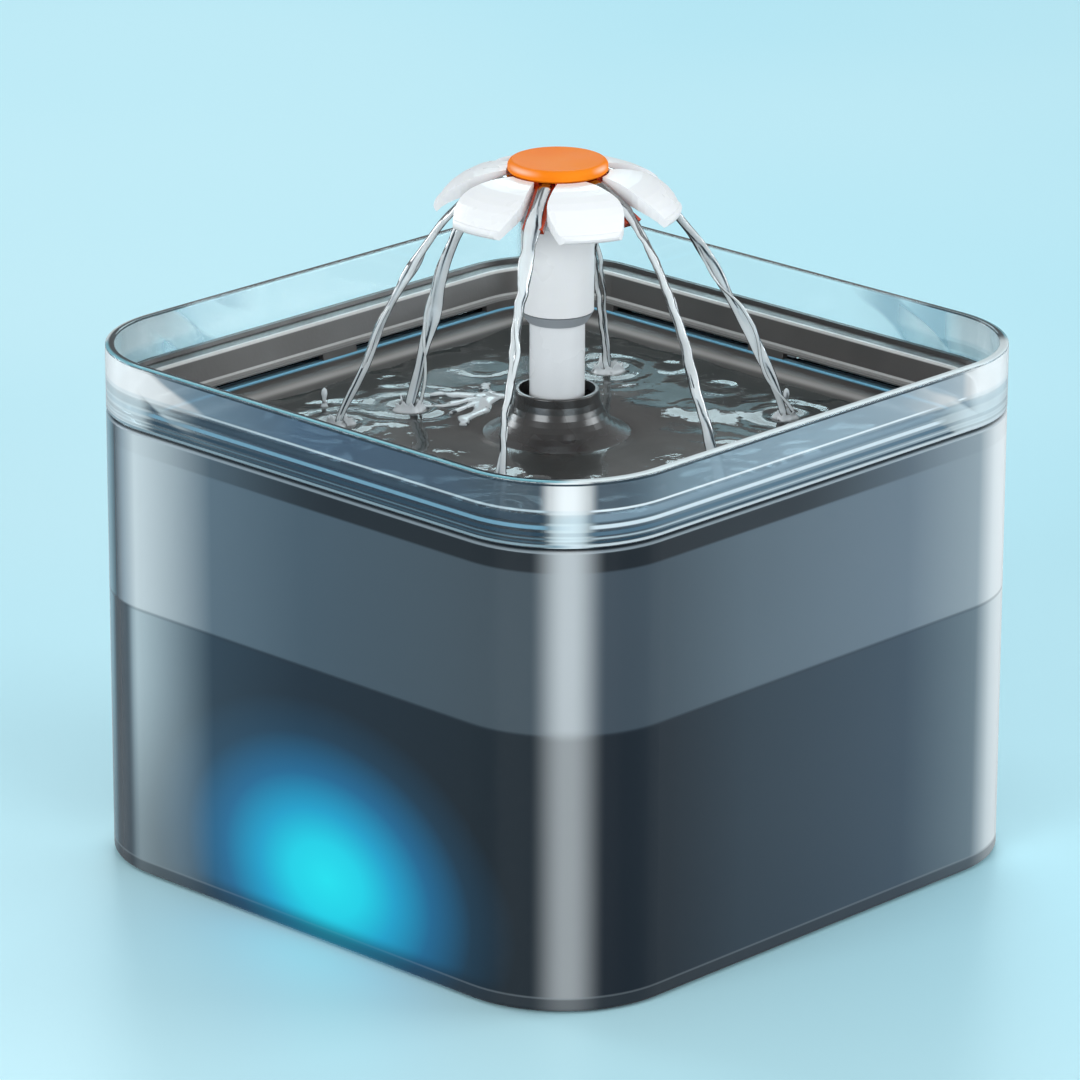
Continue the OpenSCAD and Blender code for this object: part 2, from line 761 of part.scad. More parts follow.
module motor_end_cover() {
    half = motor_w / 2;
    color(pump_black) difference() {
        union() {
            rounded_bar(-half, half, motor_z, motor_z + motor_h, motor_round,
                motor_back_y - end_cover_t, motor_back_y);
            difference() {
                rounded_bar(-half + motor_wall + push_gap, half - motor_wall - push_gap,
                    motor_z + motor_wall + push_gap, motor_z + motor_h - motor_wall - push_gap,
                    motor_round - motor_wall / 2, motor_back_y - end_cover_t / 2, motor_back_y + end_lip);
                rounded_bar(-half + 2 * motor_wall, half - 2 * motor_wall,
                    motor_z + 2 * motor_wall, motor_z + motor_h - 2 * motor_wall,
                    motor_round - motor_wall, motor_back_y, motor_back_y + end_lip + over);
            }
        }
        translate([led_x, motor_back_y - end_cover_t - over, led_z]) rotate([-90, 0, 0])
            cylinder(r = lens_r + push_gap, h = end_cover_t + 2 * over);
    }
}

module stator_core() {
    color(steel) translate([0, stator_y + stator_l, 0]) rotate([90, 0, 0]) linear_extrude(stator_l) difference() {
        translate([stator_x0, stator_z0]) square([stator_x1 - stator_x0, stator_h]);
        translate([0, axis_z]) circle(r = well_tube_r + side_gap);
        translate([stator_window[0], stator_z0 + stator_bar])
            square([stator_window[1] - stator_window[0], stator_h - 2 * stator_bar]);
    }
}

module stator_coil() {
    z0 = stator_z0 + stator_bar + coil_gap;
    h = stator_h - 2 * stator_bar - 2 * coil_gap;
    color(copper) difference() {
        translate([coil_x[0], stator_y - coil_over, z0])
            cube([coil_x[1] - coil_x[0], stator_l + 2 * coil_over, h]);
        translate([stator_window[1] - coil_gap, stator_y - coil_gap, z0 - over])
            cube([stator_x1 - stator_window[1] + 2 * coil_gap, stator_l + 2 * coil_gap, h + 2 * over]);
    }
}

module driver_board() {
    color(board_green)
        translate([board_x1 - board_w, board_y - board_t, axis_z - board_h / 2])
            cube([board_w, board_t, board_h]);
}

module led() {
    color(led_blue) translate([led_x, board_y - board_t, led_z]) rotate([90, 0, 0]) rotate_extrude()
        polygon(concat([[0, 0], [led_collar_r, 0], [led_collar_r, led_collar_h], [led_r, led_collar_h]],
            arc([0, led_l - led_r], led_r, 0, right_angle, round_steps)));
}

module led_lens() {
    color(led_blue) translate([led_x, motor_back_y, led_z]) rotate([90, 0, 0]) rotate_extrude()
        polygon(concat([[0, 0], [lens_r, 0], [lens_r, end_cover_t]],
            [for (i = [1:round_steps]) let (a = 90 * i / round_steps)
                [lens_r * cos(a), end_cover_t + lens_dome * sin(a)]]));
}

module cable_gland() {
    color(rubber) translate([-motor_w / 2 + motor_wall, gland_y, gland_z]) rotate([0, -90, 0]) difference() {
        rotate_extrude()
            polygon([[0, 0], [gland_tip_r, 0], [gland_tip_r, motor_wall], [gland_r, motor_wall],
                [gland_r, motor_wall + gland_tip_r], [gland_tip_r, motor_wall + gland_l],
                [0, motor_wall + gland_l]]);
        translate([0, 0, motor_wall + gland_l - gland_bore_l])
            cylinder(r = gland_bore_r, h = gland_bore_l + over);
    }
}

module shaft() {
    color(ceramic_white) along_y(shaft_back_y) cylinder(r = shaft_r, h = shaft_front_y - shaft_back_y);
}

module bush() {
    tube(bush_r, shaft_r + push_gap / 2, bush_l);
}

module rear_bush() {
    color(rubber) along_y(rotor_well_y) bush();
}

module front_bush() {
    color(rubber) along_y(volute_back_y - bush_l) bush();
}

module rotor_magnet() {
    color(magnet) along_y(rotor_y) tube(rotor_r, tail_r + push_gap, rotor_front_y - rotor_y);
}

module impeller() {
    color(ceramic_white) difference() {
        union() {
            along_y(rotor_y) cylinder(r = tail_r, h = impeller_y - rotor_y + impeller_plate_t);
            along_y(impeller_y) cylinder(r = impeller_r, h = impeller_plate_t);
            along_y(impeller_y) cylinder(r = impeller_hub_r, h = impeller_front_y - impeller_y - impeller_plate_t);
            for (i = [0:blades - 1]) along_y(impeller_y + impeller_plate_t / 2) rotate([0, 0, 360 * i / blades])
                translate([tail_r, -blade_t / 2, 0])
                    cube([impeller_r - tail_r - blade_t / 2, blade_t,
                        impeller_front_y - impeller_y - impeller_plate_t]);
        }
        along_y(rotor_y - over) cylinder(r = shaft_r + run_gap, h = impeller_front_y - rotor_y + 2 * over);
    }
}

module cover_seal() {
    color(rubber) along_y(volute_front_y - seal_wire_r) rotate_extrude()
        translate([seal_at_r, 0]) circle(r = seal_wire_r, $fn = 24);
}

module volute_cover() {
    chamber_l = volute_l - volute_face_t;
    color(pump_black) difference() {
        union() {
            along_y(volute_front_y) cylinder(r = volute_r, h = volute_l);
            translate([0, 0, axis_z]) cylinder(r = spout_shoulder_r, h = spout_seat_z - axis_z);
            translate([0, 0, axis_z]) cylinder(r = spout_r, h = spout_top_z - axis_z);
        }
        along_y(volute_front_y - over) cylinder(r = volute_in_r, h = chamber_l + over);
        along_y(volute_back_y - volute_face_t - over) difference() {
            cylinder(r = eye_r, h = volute_face_t + 2 * over);
            translate([0, 0, -over]) cylinder(r = spider_r, h = volute_face_t + 4 * over);
            for (i = [0:2]) rotate([0, 0, 120 * i]) translate([0, -spider_w / 2, -over])
                cube([eye_r + over, spider_w, volute_face_t + 4 * over]);
        }
        along_y(volute_back_y - volute_face_t - over) cylinder(r = bush_r + push_gap / 2, h = volute_face_t + 2 * over);
        translate([0, 0, axis_z]) cylinder(r = spout_in_r, h = spout_top_z - axis_z + over);
    }
}

module intake_cover() {
    color(pump_black) difference() {
        along_y(cover_y) cylinder(r = cover_r, h = cover_l);
        along_y(cover_y - over) cylinder(r = cover_in_r, h = cover_l - cover_wall + over);
        for (i = [0:cover_slots - 1]) along_y(cover_y + cover_l - cover_wall - cover_slot_l)
            rotate([0, 0, 360 * i / cover_slots]) translate([cover_in_r - over, -cover_slot_w / 2, -cover_wall])
                cube([cover_wall + 2 * over, cover_slot_w, cover_slot_l]);
        for (i = [0:cover_face_slots - 1]) let (x = (i - (cover_face_slots - 1) / 2) * cover_face_pitch)
            let (half = sqrt(cover_in_r * cover_in_r - x * x) - cover_wall)
                translate([x - cover_slot_w / 2, cover_y + cover_l - cover_wall - over, axis_z - half])
                    cube([cover_slot_w, cover_wall + 2 * over, 2 * half]);
    }
}

module prefilter_sponge() {
    y0 = volute_back_y + sponge_gap;
    color(foam) along_y(y0)
        cylinder(r = cover_in_r - side_gap, h = cover_y + cover_l - cover_wall - push_gap - y0);
}

module suction_cups() {
    z0 = floor_z + seat_gap;
    color(rubber) for (x = [-cup_x, cup_x], y = cup_ys) translate([x, y, 0]) rotate_extrude()
        polygon([[0, z0 + cup_lip], [cup_neck_r, z0 + cup_lip], [cup_r - cup_lip, z0], [cup_r, z0],
            [cup_r, z0 + cup_lip / 2], [cup_neck_r, z0 + 3 * cup_lip], [cup_neck_r, motor_z], [0, motor_z]]);
}

tank();
feet();
collar();
tray();
riser_pipe();
flower_socket();
flower();
flower_core();
centre_cap();
filter_case();
filter_lid();
cartridge_frame();
cotton_bottom();
carbon_layer();
resin_layer();
cotton_top();
motor_housing();
motor_end_cover();
stator_core();
stator_coil();
driver_board();
led();
led_lens();
cable_gland();
shaft();
rear_bush();
front_bush();
rotor_magnet();
impeller();
cover_seal();
volute_cover();
intake_cover();
prefilter_sponge();
suction_cups();
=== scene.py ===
import math

import bpy
import numpy as np
from mathutils import Matrix, Vector, noise


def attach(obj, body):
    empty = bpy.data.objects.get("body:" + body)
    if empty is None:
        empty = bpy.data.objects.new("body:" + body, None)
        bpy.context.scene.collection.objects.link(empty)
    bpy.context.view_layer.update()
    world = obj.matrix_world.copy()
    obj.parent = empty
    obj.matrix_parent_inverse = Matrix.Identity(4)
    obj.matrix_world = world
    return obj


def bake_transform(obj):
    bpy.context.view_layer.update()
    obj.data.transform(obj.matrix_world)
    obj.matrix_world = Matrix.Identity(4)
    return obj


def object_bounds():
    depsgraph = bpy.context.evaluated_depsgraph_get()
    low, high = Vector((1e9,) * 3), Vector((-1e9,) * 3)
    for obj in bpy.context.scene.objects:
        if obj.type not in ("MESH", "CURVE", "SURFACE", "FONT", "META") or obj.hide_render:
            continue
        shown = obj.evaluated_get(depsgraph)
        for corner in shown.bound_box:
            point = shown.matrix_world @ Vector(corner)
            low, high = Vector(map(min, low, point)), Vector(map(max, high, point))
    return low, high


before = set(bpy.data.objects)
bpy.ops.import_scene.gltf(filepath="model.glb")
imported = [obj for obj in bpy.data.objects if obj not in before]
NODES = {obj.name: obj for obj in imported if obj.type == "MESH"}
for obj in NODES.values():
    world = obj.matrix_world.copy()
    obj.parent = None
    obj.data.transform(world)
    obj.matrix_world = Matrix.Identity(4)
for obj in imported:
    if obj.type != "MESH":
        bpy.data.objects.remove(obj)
cad_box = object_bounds()
MM = 0.001

# The body's plan and levels. CORNER_AT is where the centres of its corners' arcs lie, and the tank's water
# stands in from the outside by TANK_WATER_INSET
HALF = round(cad_box[1][0] / MM, 2)
TOP_Z = round(cad_box[1][2] / MM, 2)
CORNER_R = 33.0
CORNER_AT = HALF - CORNER_R
TANK_WATER_INSET = 3.0
TANK_FLOOR_Z = 4.0
TANK_WATER_Z = 74.0
TRAY_WATER_Z = 115.0
SKIRT_Z = 116.3
DISH_EDGE_Z = 117.45
SLOT_EDGE_Z = 120.25
SEAM_Z = 122.0
TRAY_LEDGE_Z = 126.6
TRAY_RIM_Z = 128.0
RIM_Z = 140.0

# The blue light's glow on the tank's -Y side: its place, how far it reaches and how distances along X shrink
# in it, which makes it wider than high
GLOW_X = 8.0
GLOW_Z = 18.0
GLOW_REACH = 48.0
GLOW_X_SHARE = 0.74

WHITE = (1, 1, 1, 1)


def linear(r, g, b):
    """A colour written in sRGB from 0 to 255, as the shader's linear values."""
    out = []
    for c in (r, g, b):
        c = c / 255
        out.append(c / 12.92 if c <= 0.04045 else ((c + 0.055) / 1.055) ** 2.4)
    return (*out, 1.0)


def toned(colour, share, lift=0.0):
    """A colour with its channels multiplied and lifted, at most white."""
    return (*(min(1, c * share + lift) for c in colour[:3]), 1)


# The photograph's view, matched to the body's corners
CAMERA_AT = (1.14096, -1.18922, 0.64998)
CAMERA_RIGHT = (0.71913, 0.69487, 0.00270)
CAMERA_UP = (-0.22720, 0.23146, 0.94594)
CAMERA_BACK = (0.65668, -0.68087, 0.32432)
FOCAL_LENGTH = 221.77
SENSOR_WIDTH = 36
NEAR_CLIP = 0.05
FAR_CLIP = 60


def make_camera():
    data = bpy.data.cameras.new("camera")
    data.sensor_fit = "HORIZONTAL"
    data.sensor_width = SENSOR_WIDTH
    data.lens = FOCAL_LENGTH
    data.clip_start = NEAR_CLIP
    data.clip_end = FAR_CLIP
    camera = bpy.data.objects.new("camera", data)
    turn = Matrix((CAMERA_RIGHT, CAMERA_UP, CAMERA_BACK)).transposed()
    camera.matrix_world = Matrix.Translation(CAMERA_AT) @ turn.to_4x4()
    bpy.context.scene.collection.objects.link(camera)
    bpy.context.scene.camera = camera


make_camera()


# Shader building
class Look:
    """One Principled material and short names for the nodes that feed it.

    Constants are set on sockets that nodes feed too, because the export reads some of them.
    """

    def __init__(self, name, colour=(0.8, 0.8, 0.8, 1), rough=0.4, **sockets):
        self.mat = bpy.data.materials.new(name)
        self.mat.use_nodes = True
        self.tree = self.mat.node_tree
        self.bsdf = self.tree.nodes["Principled BSDF"]
        self.set("Base Color", colour)
        self.set("Roughness", rough)
        for key, value in sockets.items():
            self.set(key.replace("_", " "), value)
        self.at = self.tree.nodes.new("ShaderNodeTexCoord").outputs["Object"]

    def set(self, socket, value):
        self.bsdf.inputs[socket].default_value = value

    def into(self, socket, value):
        self.tree.links.new(value, self.bsdf.inputs[socket])

    def put(self, target, value):
        if isinstance(value, bpy.types.NodeSocket):
            self.tree.links.new(value, target)
        else:
            target.default_value = value

    def calc(self, kind, *values):
        n = self.tree.nodes.new("ShaderNodeMath")
        n.operation = kind
        for target, value in zip(n.inputs, values):
            self.put(target, value)
        return n.outputs[0]

    def plus(self, a, b):
        return self.calc("ADD", a, b)

    def minus(self, a, b):
        return self.calc("SUBTRACT", a, b)

    def times(self, first, *others):
        for other in others:
            first = self.calc("MULTIPLY", first, other)
        return first

    def most(self, a, b):
        return self.calc("MAXIMUM", a, b)

    def rest(self, share):
        """What a share leaves of 1."""
        return self.minus(1.0, share)

    def length(self, a, b):
        """Length of the vector (a, b)."""
        return self.calc("SQRT", self.plus(self.times(a, a), self.times(b, b)))

    def degrees(self, y, x):
        """Angle of the point (x, y) round the origin, from -180 to 180."""
        return self.times(self.calc("ARCTAN2", y, x), 180 / math.pi)

    def step(self, value, low, high, to_low=0.0, to_high=1.0):
        n = self.tree.nodes.new("ShaderNodeMapRange")
        n.interpolation_type = "SMOOTHSTEP"
        self.put(n.inputs["Value"], value)
        n.inputs["From Min"].default_value = low
        n.inputs["From Max"].default_value = high
        n.inputs["To Min"].default_value = to_low
        n.inputs["To Max"].default_value = to_high
        return n.outputs[0]

    def band(self, value, low, high, soft):
        """1 between two limits and 0 outside, with soft ends."""
        rise = self.step(value, low - soft, low + soft)
        fall = self.step(value, high - soft, high + soft, 1.0, 0.0)
        return self.times(rise, fall)

    def mix(self, share, a, b):
        n = self.tree.nodes.new("ShaderNodeMix")
        n.data_type = "RGBA"
        self.put(n.inputs[0], share)
        self.put(n.inputs[6], a)
        self.put(n.inputs[7], b)
        return n.outputs[2]

    def layered(self, body, layers):
        """The body's colour with each layer's colour laid over it where the layer's mask is."""
        for mask, colour in layers:
            body = self.mix(mask, body, colour)
        return body

    def ramp(self, value, stops):
        n = self.tree.nodes.new("ShaderNodeValToRGB")
        while len(n.color_ramp.elements) < len(stops):
            n.color_ramp.elements.new(0.5)
        for e, (at, colour) in zip(n.color_ramp.elements, stops):
            e.position = at
            e.color = colour
        self.put(n.inputs[0], value)
        return n.outputs[0]

    def grey_ramp(self, value, stops):
        """A ramp of shares in place of colours."""
        return self.ramp(value, [(at, (share, share, share, 1)) for at, share in stops])

    def deeper(self, colour, power):
        """The colour with every channel raised to a power, so that dark ones darken most."""
        n = self.tree.nodes.new("ShaderNodeGamma")
        self.put(n.inputs[0], colour)
        n.inputs[1].default_value = power
        return n.outputs[0]

    def scaled(self, x, y, z):
        """The object's own coordinates, in metres, each multiplied by a number."""
        n = self.tree.nodes.new("ShaderNodeVectorMath")
        n.operation = "MULTIPLY"
        self.put(n.inputs[0], self.at)
        n.inputs[1].default_value = (x, y, z)
        return n.outputs[0]

    def place(self):
        """The point's x, y and z on the object, in millimetres."""
        n = self.tree.nodes.new("ShaderNodeSeparateXYZ")
        self.put(n.inputs[0], self.scaled(1 / MM, 1 / MM, 1 / MM))
        return n.outputs[0], n.outputs[1], n.outputs[2]

    def noise(self, scale, detail=3.0, rough=0.55):
        n = self.tree.nodes.new("ShaderNodeTexNoise")
        n.inputs["Scale"].default_value = scale
        n.inputs["Detail"].default_value = detail
        n.inputs["Roughness"].default_value = rough
        self.put(n.inputs["Vector"], self.at)
        return n.outputs["Fac"]

    def cells(self, scale, feature="F1", at=None):
        n = self.tree.nodes.new("ShaderNodeTexVoronoi")
        n.feature = feature
        n.inputs["Scale"].default_value = scale
        self.put(n.inputs["Vector"], at or self.at)
        return n

    def wave(self, scale, axis, distortion=0.0):
        n = self.tree.nodes.new("ShaderNodeTexWave")
        n.bands_direction = axis
        n.inputs["Scale"].default_value = scale
        n.inputs["Distortion"].default_value = distortion
        n.inputs["Detail Scale"].default_value = 2.0
        self.put(n.inputs["Vector"], self.at)
        return n.outputs["Fac"]

    def bump(self, height, distance, strength=1.0):
        n = self.tree.nodes.new("ShaderNodeBump")
        n.inputs["Strength"].default_value = strength
        n.inputs["Distance"].default_value = distance
        self.put(n.inputs["Height"], height)
        self.into("Normal", n.outputs[0])

    def rough_between(self, low, high, scale):
        self.into("Roughness", self.step(self.noise(scale), 0.3, 0.7, low, high))


def moulded(name, colour, rough, grain=0.00002, tint=0.06, **sockets):
    """Injection-moulded plastic: faint flow clouds, fine grain and uneven gloss."""
    look = Look(name, colour, rough, **sockets)
    clouds = look.step(look.noise(38), 0.35, 0.65)
    look.into("Base Color", look.mix(clouds, colour, toned(colour, 1 - tint)))
    look.rough_between(rough * 0.85, rough * 1.2, 60)
    look.bump(look.noise(1400, 2), grain)
    return look


# Plan helpers of the body's rounded square, in millimetres
def past_corner(look, x, y):
    """How far a point lies beyond the centre of its corner's arc, along X and along Y."""
    return [look.most(look.minus(look.calc("ABSOLUTE", v), CORNER_AT), 0.0) for v in (x, y)]


def corner_highlight(look, x, y):
    """Mask of a painted highlight: a pale upright strip on each rounded corner of the front and the back."""
    u, v = past_corner(look, x, y)
    corner_glare = look.band(look.degrees(v, u), 35.0, 53.0, 8.0)
    front_or_back = look.step(look.times(x, y), -500.0, 500.0, 1.0, 0.0)
    return look.times(corner_glare, front_or_back)


def side_shares(look, x, y):
    """Where a wall point lies, from 0.1 at the corners of darkest painted reflection to 0.9 at the palest,
    and if on an X side.
    """
    side = look.calc("MULTIPLY_ADD", look.times(x, y), 0.5 / HALF ** 2, 0.5)
    lead = look.minus(look.calc("ABSOLUTE", x), look.calc("ABSOLUTE", y))
    return side, look.step(lead, -5.0, 5.0)


def inset(look, x, y):
    """Distance inwards from the body's rounded square outline, for points near the walls."""
    u, v = past_corner(look, x, y)
    return look.minus(CORNER_R, look.length(u, v))


def tank_air(look, side, right):
    """The smoked wall above the water line, with painted reflections: dark by the front and back corners,
    pale by the other two.
    """
    right_side = look.ramp(side, [
        (0.12, linear(64, 76, 86)), (0.2, linear(70, 84, 94)), (0.35, linear(90, 106, 117)),
        (0.68, linear(106, 123, 136)), (0.83, linear(144, 159, 167)), (0.865, linear(220, 226, 228)),
        (0.9, linear(250, 252, 252))])
    left_side = look.ramp(side, [
        (0.12, linear(70, 82, 90)), (0.5, linear(74, 93, 106)), (0.68, linear(92, 112, 125)),
        (0.835, linear(204, 217, 221)), (0.861, linear(142, 160, 170)), (0.8785, linear(24, 52, 66)),
        (0.9, linear(132, 182, 198))])
    return look.mix(right, left_side, right_side)


def tank_water(look, z, side, on_x, right, air):
    """The wall below the water line: deeper, except where the sky shines through its left edge, with a
    painted dark line and painted shade low down beside that edge.
    """
    left = look.rest(right)
    see_through = look.times(look.step(side, 0.876, 0.893), left)
    body = look.mix(see_through, look.deeper(air, 1.56), air)
    painted_dark_line = look.times(look.band(side, 0.85, 0.884, 0.008), left, 0.75)
    shade = look.times(look.step(z, 8.0, 62.0, 0.5, 0.0), look.step(side, 0.66, 0.8), look.rest(on_x))
    return look.layered(body, [(painted_dark_line, linear(34, 48, 58)), (shade, linear(56, 66, 74))])


def smoked_tank():
    look = Look("smoked_tank", rough=0.16, Specular_IOR_Level=0.18)
    x, y, z = look.place()
    side, on_x = side_shares(look, x, y)
    right = look.most(on_x, look.step(look.plus(x, y), 2 * HALF - 35.0, 2 * HALF - 28.0))
    air = tank_air(look, side, right)
    wet = tank_water(look, z, side, on_x, right, air)
    body = look.mix(look.step(z, TANK_WATER_Z - 0.5, TANK_WATER_Z + 0.5), wet, air)
    meniscus = look.times(look.band(z, TANK_WATER_Z - 0.6, TANK_WATER_Z + 0.2, 0.3), 0.3)
    skirt = look.times(look.band(z, SKIRT_Z, SEAM_Z - 0.6, 0.4), look.step(side, 0.42, 0.84, 0.8, 0.05))
    lit_rim = look.times(look.band(z, SEAM_Z - 0.7, SEAM_Z - 0.1, 0.15), 0.5)
    # A painted highlight on each corner of the front and the back, paler above the water line
    corner_glare = look.times(corner_highlight(look, x, y), 0.97)
    above_water = look.step(z, TANK_WATER_Z - 2, TANK_WATER_Z + 2)
    corner_glare_tone = look.mix(above_water, linear(160, 164, 166), linear(192, 198, 201))
    floor = look.times(look.step(z, TANK_FLOOR_Z - 0.4, TANK_FLOOR_Z + 0.4, 1.0, 0.0), 0.6)
    floor_line = look.times(look.band(z, TANK_FLOOR_Z, TANK_FLOOR_Z + 0.5, 0.15), 0.3)
    clouds = look.times(look.step(look.noise(9, 2), 0.3, 0.7), 0.07)
    # The light by the pump glows through the wall on the -Y side, in a dark halo
    from_light = look.length(look.times(look.minus(x, GLOW_X), GLOW_X_SHARE), look.minus(z, GLOW_Z))
    front = look.step(y, 0.1 - HALF, 12.5 - HALF, 1.0, 0.0)
    halo = look.times(front, look.step(from_light, 10.0, 46.0, 1.0, 0.0), 0.8)
    look.into("Base Color", look.layered(body, [
        (meniscus, linear(38, 48, 58)), (skirt, linear(14, 19, 24)), (lit_rim, linear(170, 184, 192)),
        (corner_glare, corner_glare_tone), (floor, linear(50, 58, 64)), (floor_line, linear(140, 150, 156)),
        (clouds, linear(20, 28, 42)), (halo, linear(4, 22, 34))]))
    look.rough_between(0.12, 0.2, 30)
    look.bump(look.noise(14, 1), 0.0002, 0.4)
    look.into("Emission Color", look.ramp(look.calc("DIVIDE", from_light, GLOW_REACH), [
        (0.0, linear(30, 222, 236)), (0.2, linear(26, 206, 228)), (0.38, linear(22, 156, 198)),
        (0.58, linear(18, 96, 138)), (0.8, linear(8, 42, 62)), (1.0, (0, 0, 0, 1))]))
    above_foot = look.step(z, 2.5, 8.0, 0.35, 1.0)
    look.into("Emission Strength", look.times(front, above_foot))
    return look


# Painted highlights and dark bands on the collar's wall for the edges of the tray and of the ledge behind
# it:
# bottom and top over the seam and softness, then the tone and strength on the Y sides and on the X sides
PAINTED_TRAY_LINES = [
    (9.9, 10.5, 0.15, (196, 216, 226), 0.75, (232, 244, 250), 0.9),
    (7.2, 9.4, 0.3, (50, 72, 88), 0.75, (140, 168, 186), 0.6),
    (5.5, 6.6, 0.2, (120, 168, 192), 0.85, (218, 234, 242), 0.9),
    (3.8, 4.8, 0.2, (44, 72, 90), 0.8, (88, 122, 144), 0.75),
    (2.9, 3.4, 0.15, (104, 136, 152), 0.6, (196, 216, 226), 0.7),
    (1.9, 2.5, 0.15, (62, 90, 106), 0.7, (40, 72, 90), 0.75)]

# The level up to which the dark tray backs the collar's wall
BACKED_Z = SEAM_Z + 10.0


def collar_veil(look, z, side, on_x):
    """Colour and strength of the blue-grey reflections on the walls that the dark tray backs."""
    y_side = look.ramp(side, [(0.12, linear(80, 98, 110)), (0.22, linear(78, 102, 122)),
                              (0.5, linear(80, 108, 134)), (0.7, linear(132, 160, 178))])
    x_side = look.ramp(side, [(0.12, linear(84, 102, 116)), (0.22, linear(132, 160, 176)),
                              (0.4, linear(158, 186, 202)), (0.7, linear(178, 202, 216))])
    low, high = BACKED_Z - 0.6, BACKED_Z + 0.2
    strength = look.mix(on_x, look.step(z, low, high, 0.3, 0.6), look.step(z, low, high, 0.5, 0.58))
    return look.mix(on_x, y_side, x_side), strength


def collar_glare(look, x, y, z, side, on_x, wall):
    """Mask of the painted highlight of pale studio light on the pale corners and in soft slanting patches
    beside them.
    """
    y_side = look.grey_ramp(side, [(0.6, 0), (0.7, 0.3), (0.78, 0.75), (0.84, 0.9), (0.9, 0.8)])
    x_side = look.grey_ramp(side, [(0.6, 0), (0.72, 0.35), (0.8, 0.85), (0.87, 0.9), (0.9, 0.7)])
    slant = look.plus(look.plus(x, y), look.times(z, 2.2))
    wander = look.times(look.noise(22, 2), 5.0)
    ripple = look.calc("SINE", look.calc("MULTIPLY_ADD", slant, 0.16, wander))
    patches = look.most(look.step(ripple, -0.2, 0.5, 0.35, 1.0), look.step(side, 0.76, 0.83))
    backed = look.step(z, BACKED_Z - 1, BACKED_Z + 1, 0.88, 1.0)
    glare = look.times(look.mix(on_x, y_side, x_side), patches, backed, wall)
    return look.most(glare, look.times(corner_highlight(look, x, y), 0.92))


def rim_top(look, x, depth, on_x, near):
    """Colour and strength of the rim's flat top, painted reflection all over: dark inside and on the far
    walls, pale on its outer edge and towards the +X, +Y corner.
    """
    highlight_end = look.times(look.step(x, 70.0, 88.0), on_x)
    inner = look.mix(highlight_end, linear(34, 46, 52), linear(238, 248, 250))
    outer = look.mix(on_x, linear(120, 184, 198), linear(238, 248, 250))
    near_tone = look.mix(look.step(depth, 0.5, 1.3), outer, inner)
    far = look.rest(near)
    far_strength = look.times(far, look.step(depth, 0.6, 1.0, 1.0, 0.12))
    tone = look.mix(far, near_tone, linear(18, 24, 28))
    return tone, look.plus(look.times(near, 0.8), far_strength)


def clear_collar():
    look = Look("clear_collar", WHITE, 0.02, IOR=1.36, Transmission_Weight=1.0)
    x, y, z = look.place()
    side, on_x = side_shares(look, x, y)
    depth = inset(look, x, y)
    outer = look.step(depth, 0.25, 0.6, 1.0, 0.0)
    wall = look.band(z, SEAM_Z + 1.0, RIM_Z - 0.6, 0.2)
    # The +X and -Y walls, which face the photographer
    near = look.most(look.step(x, 40.0, 70.0), look.step(y, -70.0, -40.0, 1.0, 0.0))
    veil, veil_strength = collar_veil(look, z, side, on_x)
    # Painted highlights of the studio light on the pale corners and in patches beside them
    glare = collar_glare(look, x, y, z, side, on_x, wall)
    pale = look.mix(look.step(z, BACKED_Z - 2, BACKED_Z + 1), linear(224, 241, 246), linear(248, 252, 253))
    colour = look.mix(look.step(glare, 0.1, 0.6), veil, pale)
    share = look.most(look.times(near, wall, veil_strength), glare)
    plain = look.times(near, look.step(glare, 0.2, 0.8, 1.0, 0.22))
    # Painted highlights and dark bands of the tray's edges, on the near walls where no glare lies
    for bottom, top, soft, y_tone, y_strength, x_tone, x_strength in PAINTED_TRAY_LINES:
        painted_line = look.times(look.band(z, SEAM_Z + bottom, SEAM_Z + top, soft), plain)
        colour = look.mix(painted_line, colour, look.mix(on_x, linear(*y_tone), linear(*x_tone)))
        strength = look.calc("MULTIPLY_ADD", on_x, x_strength - y_strength, y_strength)
        share = look.most(share, look.times(painted_line, strength))
    share = look.times(share, outer)
    # A dark line in the seam, a painted highlight on the lip over it and painted shade under the rim
    seam = look.band(z, SEAM_Z + 0.1, SEAM_Z + 0.75, 0.08)
    lip = look.times(look.band(z, SEAM_Z + 1.0, SEAM_Z + 1.7, 0.12), outer)
    lip_highlight_tone = look.mix(on_x, linear(150, 178, 190), linear(226, 240, 246))
    under_rim_shade = look.times(look.band(z, RIM_Z - 1.2, RIM_Z - 0.7, 0.12), outer,
                           look.step(side, 0.7, 0.85, 1.0, 0.0))
    for mask, tone, strength in ((seam, linear(24, 34, 44), 0.85), (lip, lip_highlight_tone, 0.7),
                                 (under_rim_shade, linear(38, 60, 74), 0.6)):
        colour = look.mix(mask, colour, tone)
        share = look.most(share, look.times(mask, strength))
    top = look.step(z, RIM_Z - 0.5, RIM_Z - 0.2)
    top_tone, top_strength = rim_top(look, x, depth, on_x, near)
    colour = look.mix(top, colour, top_tone)
    share = look.most(share, look.times(top, top_strength))
    look.into("Base Color", look.mix(look.step(share, 0.0, 0.3), WHITE, colour))
    look.into("Transmission Weight", look.rest(share))
    look.rough_between(0.015, 0.05, 40)
    look.bump(look.noise(16, 1), 0.00015, 0.4)
    return look


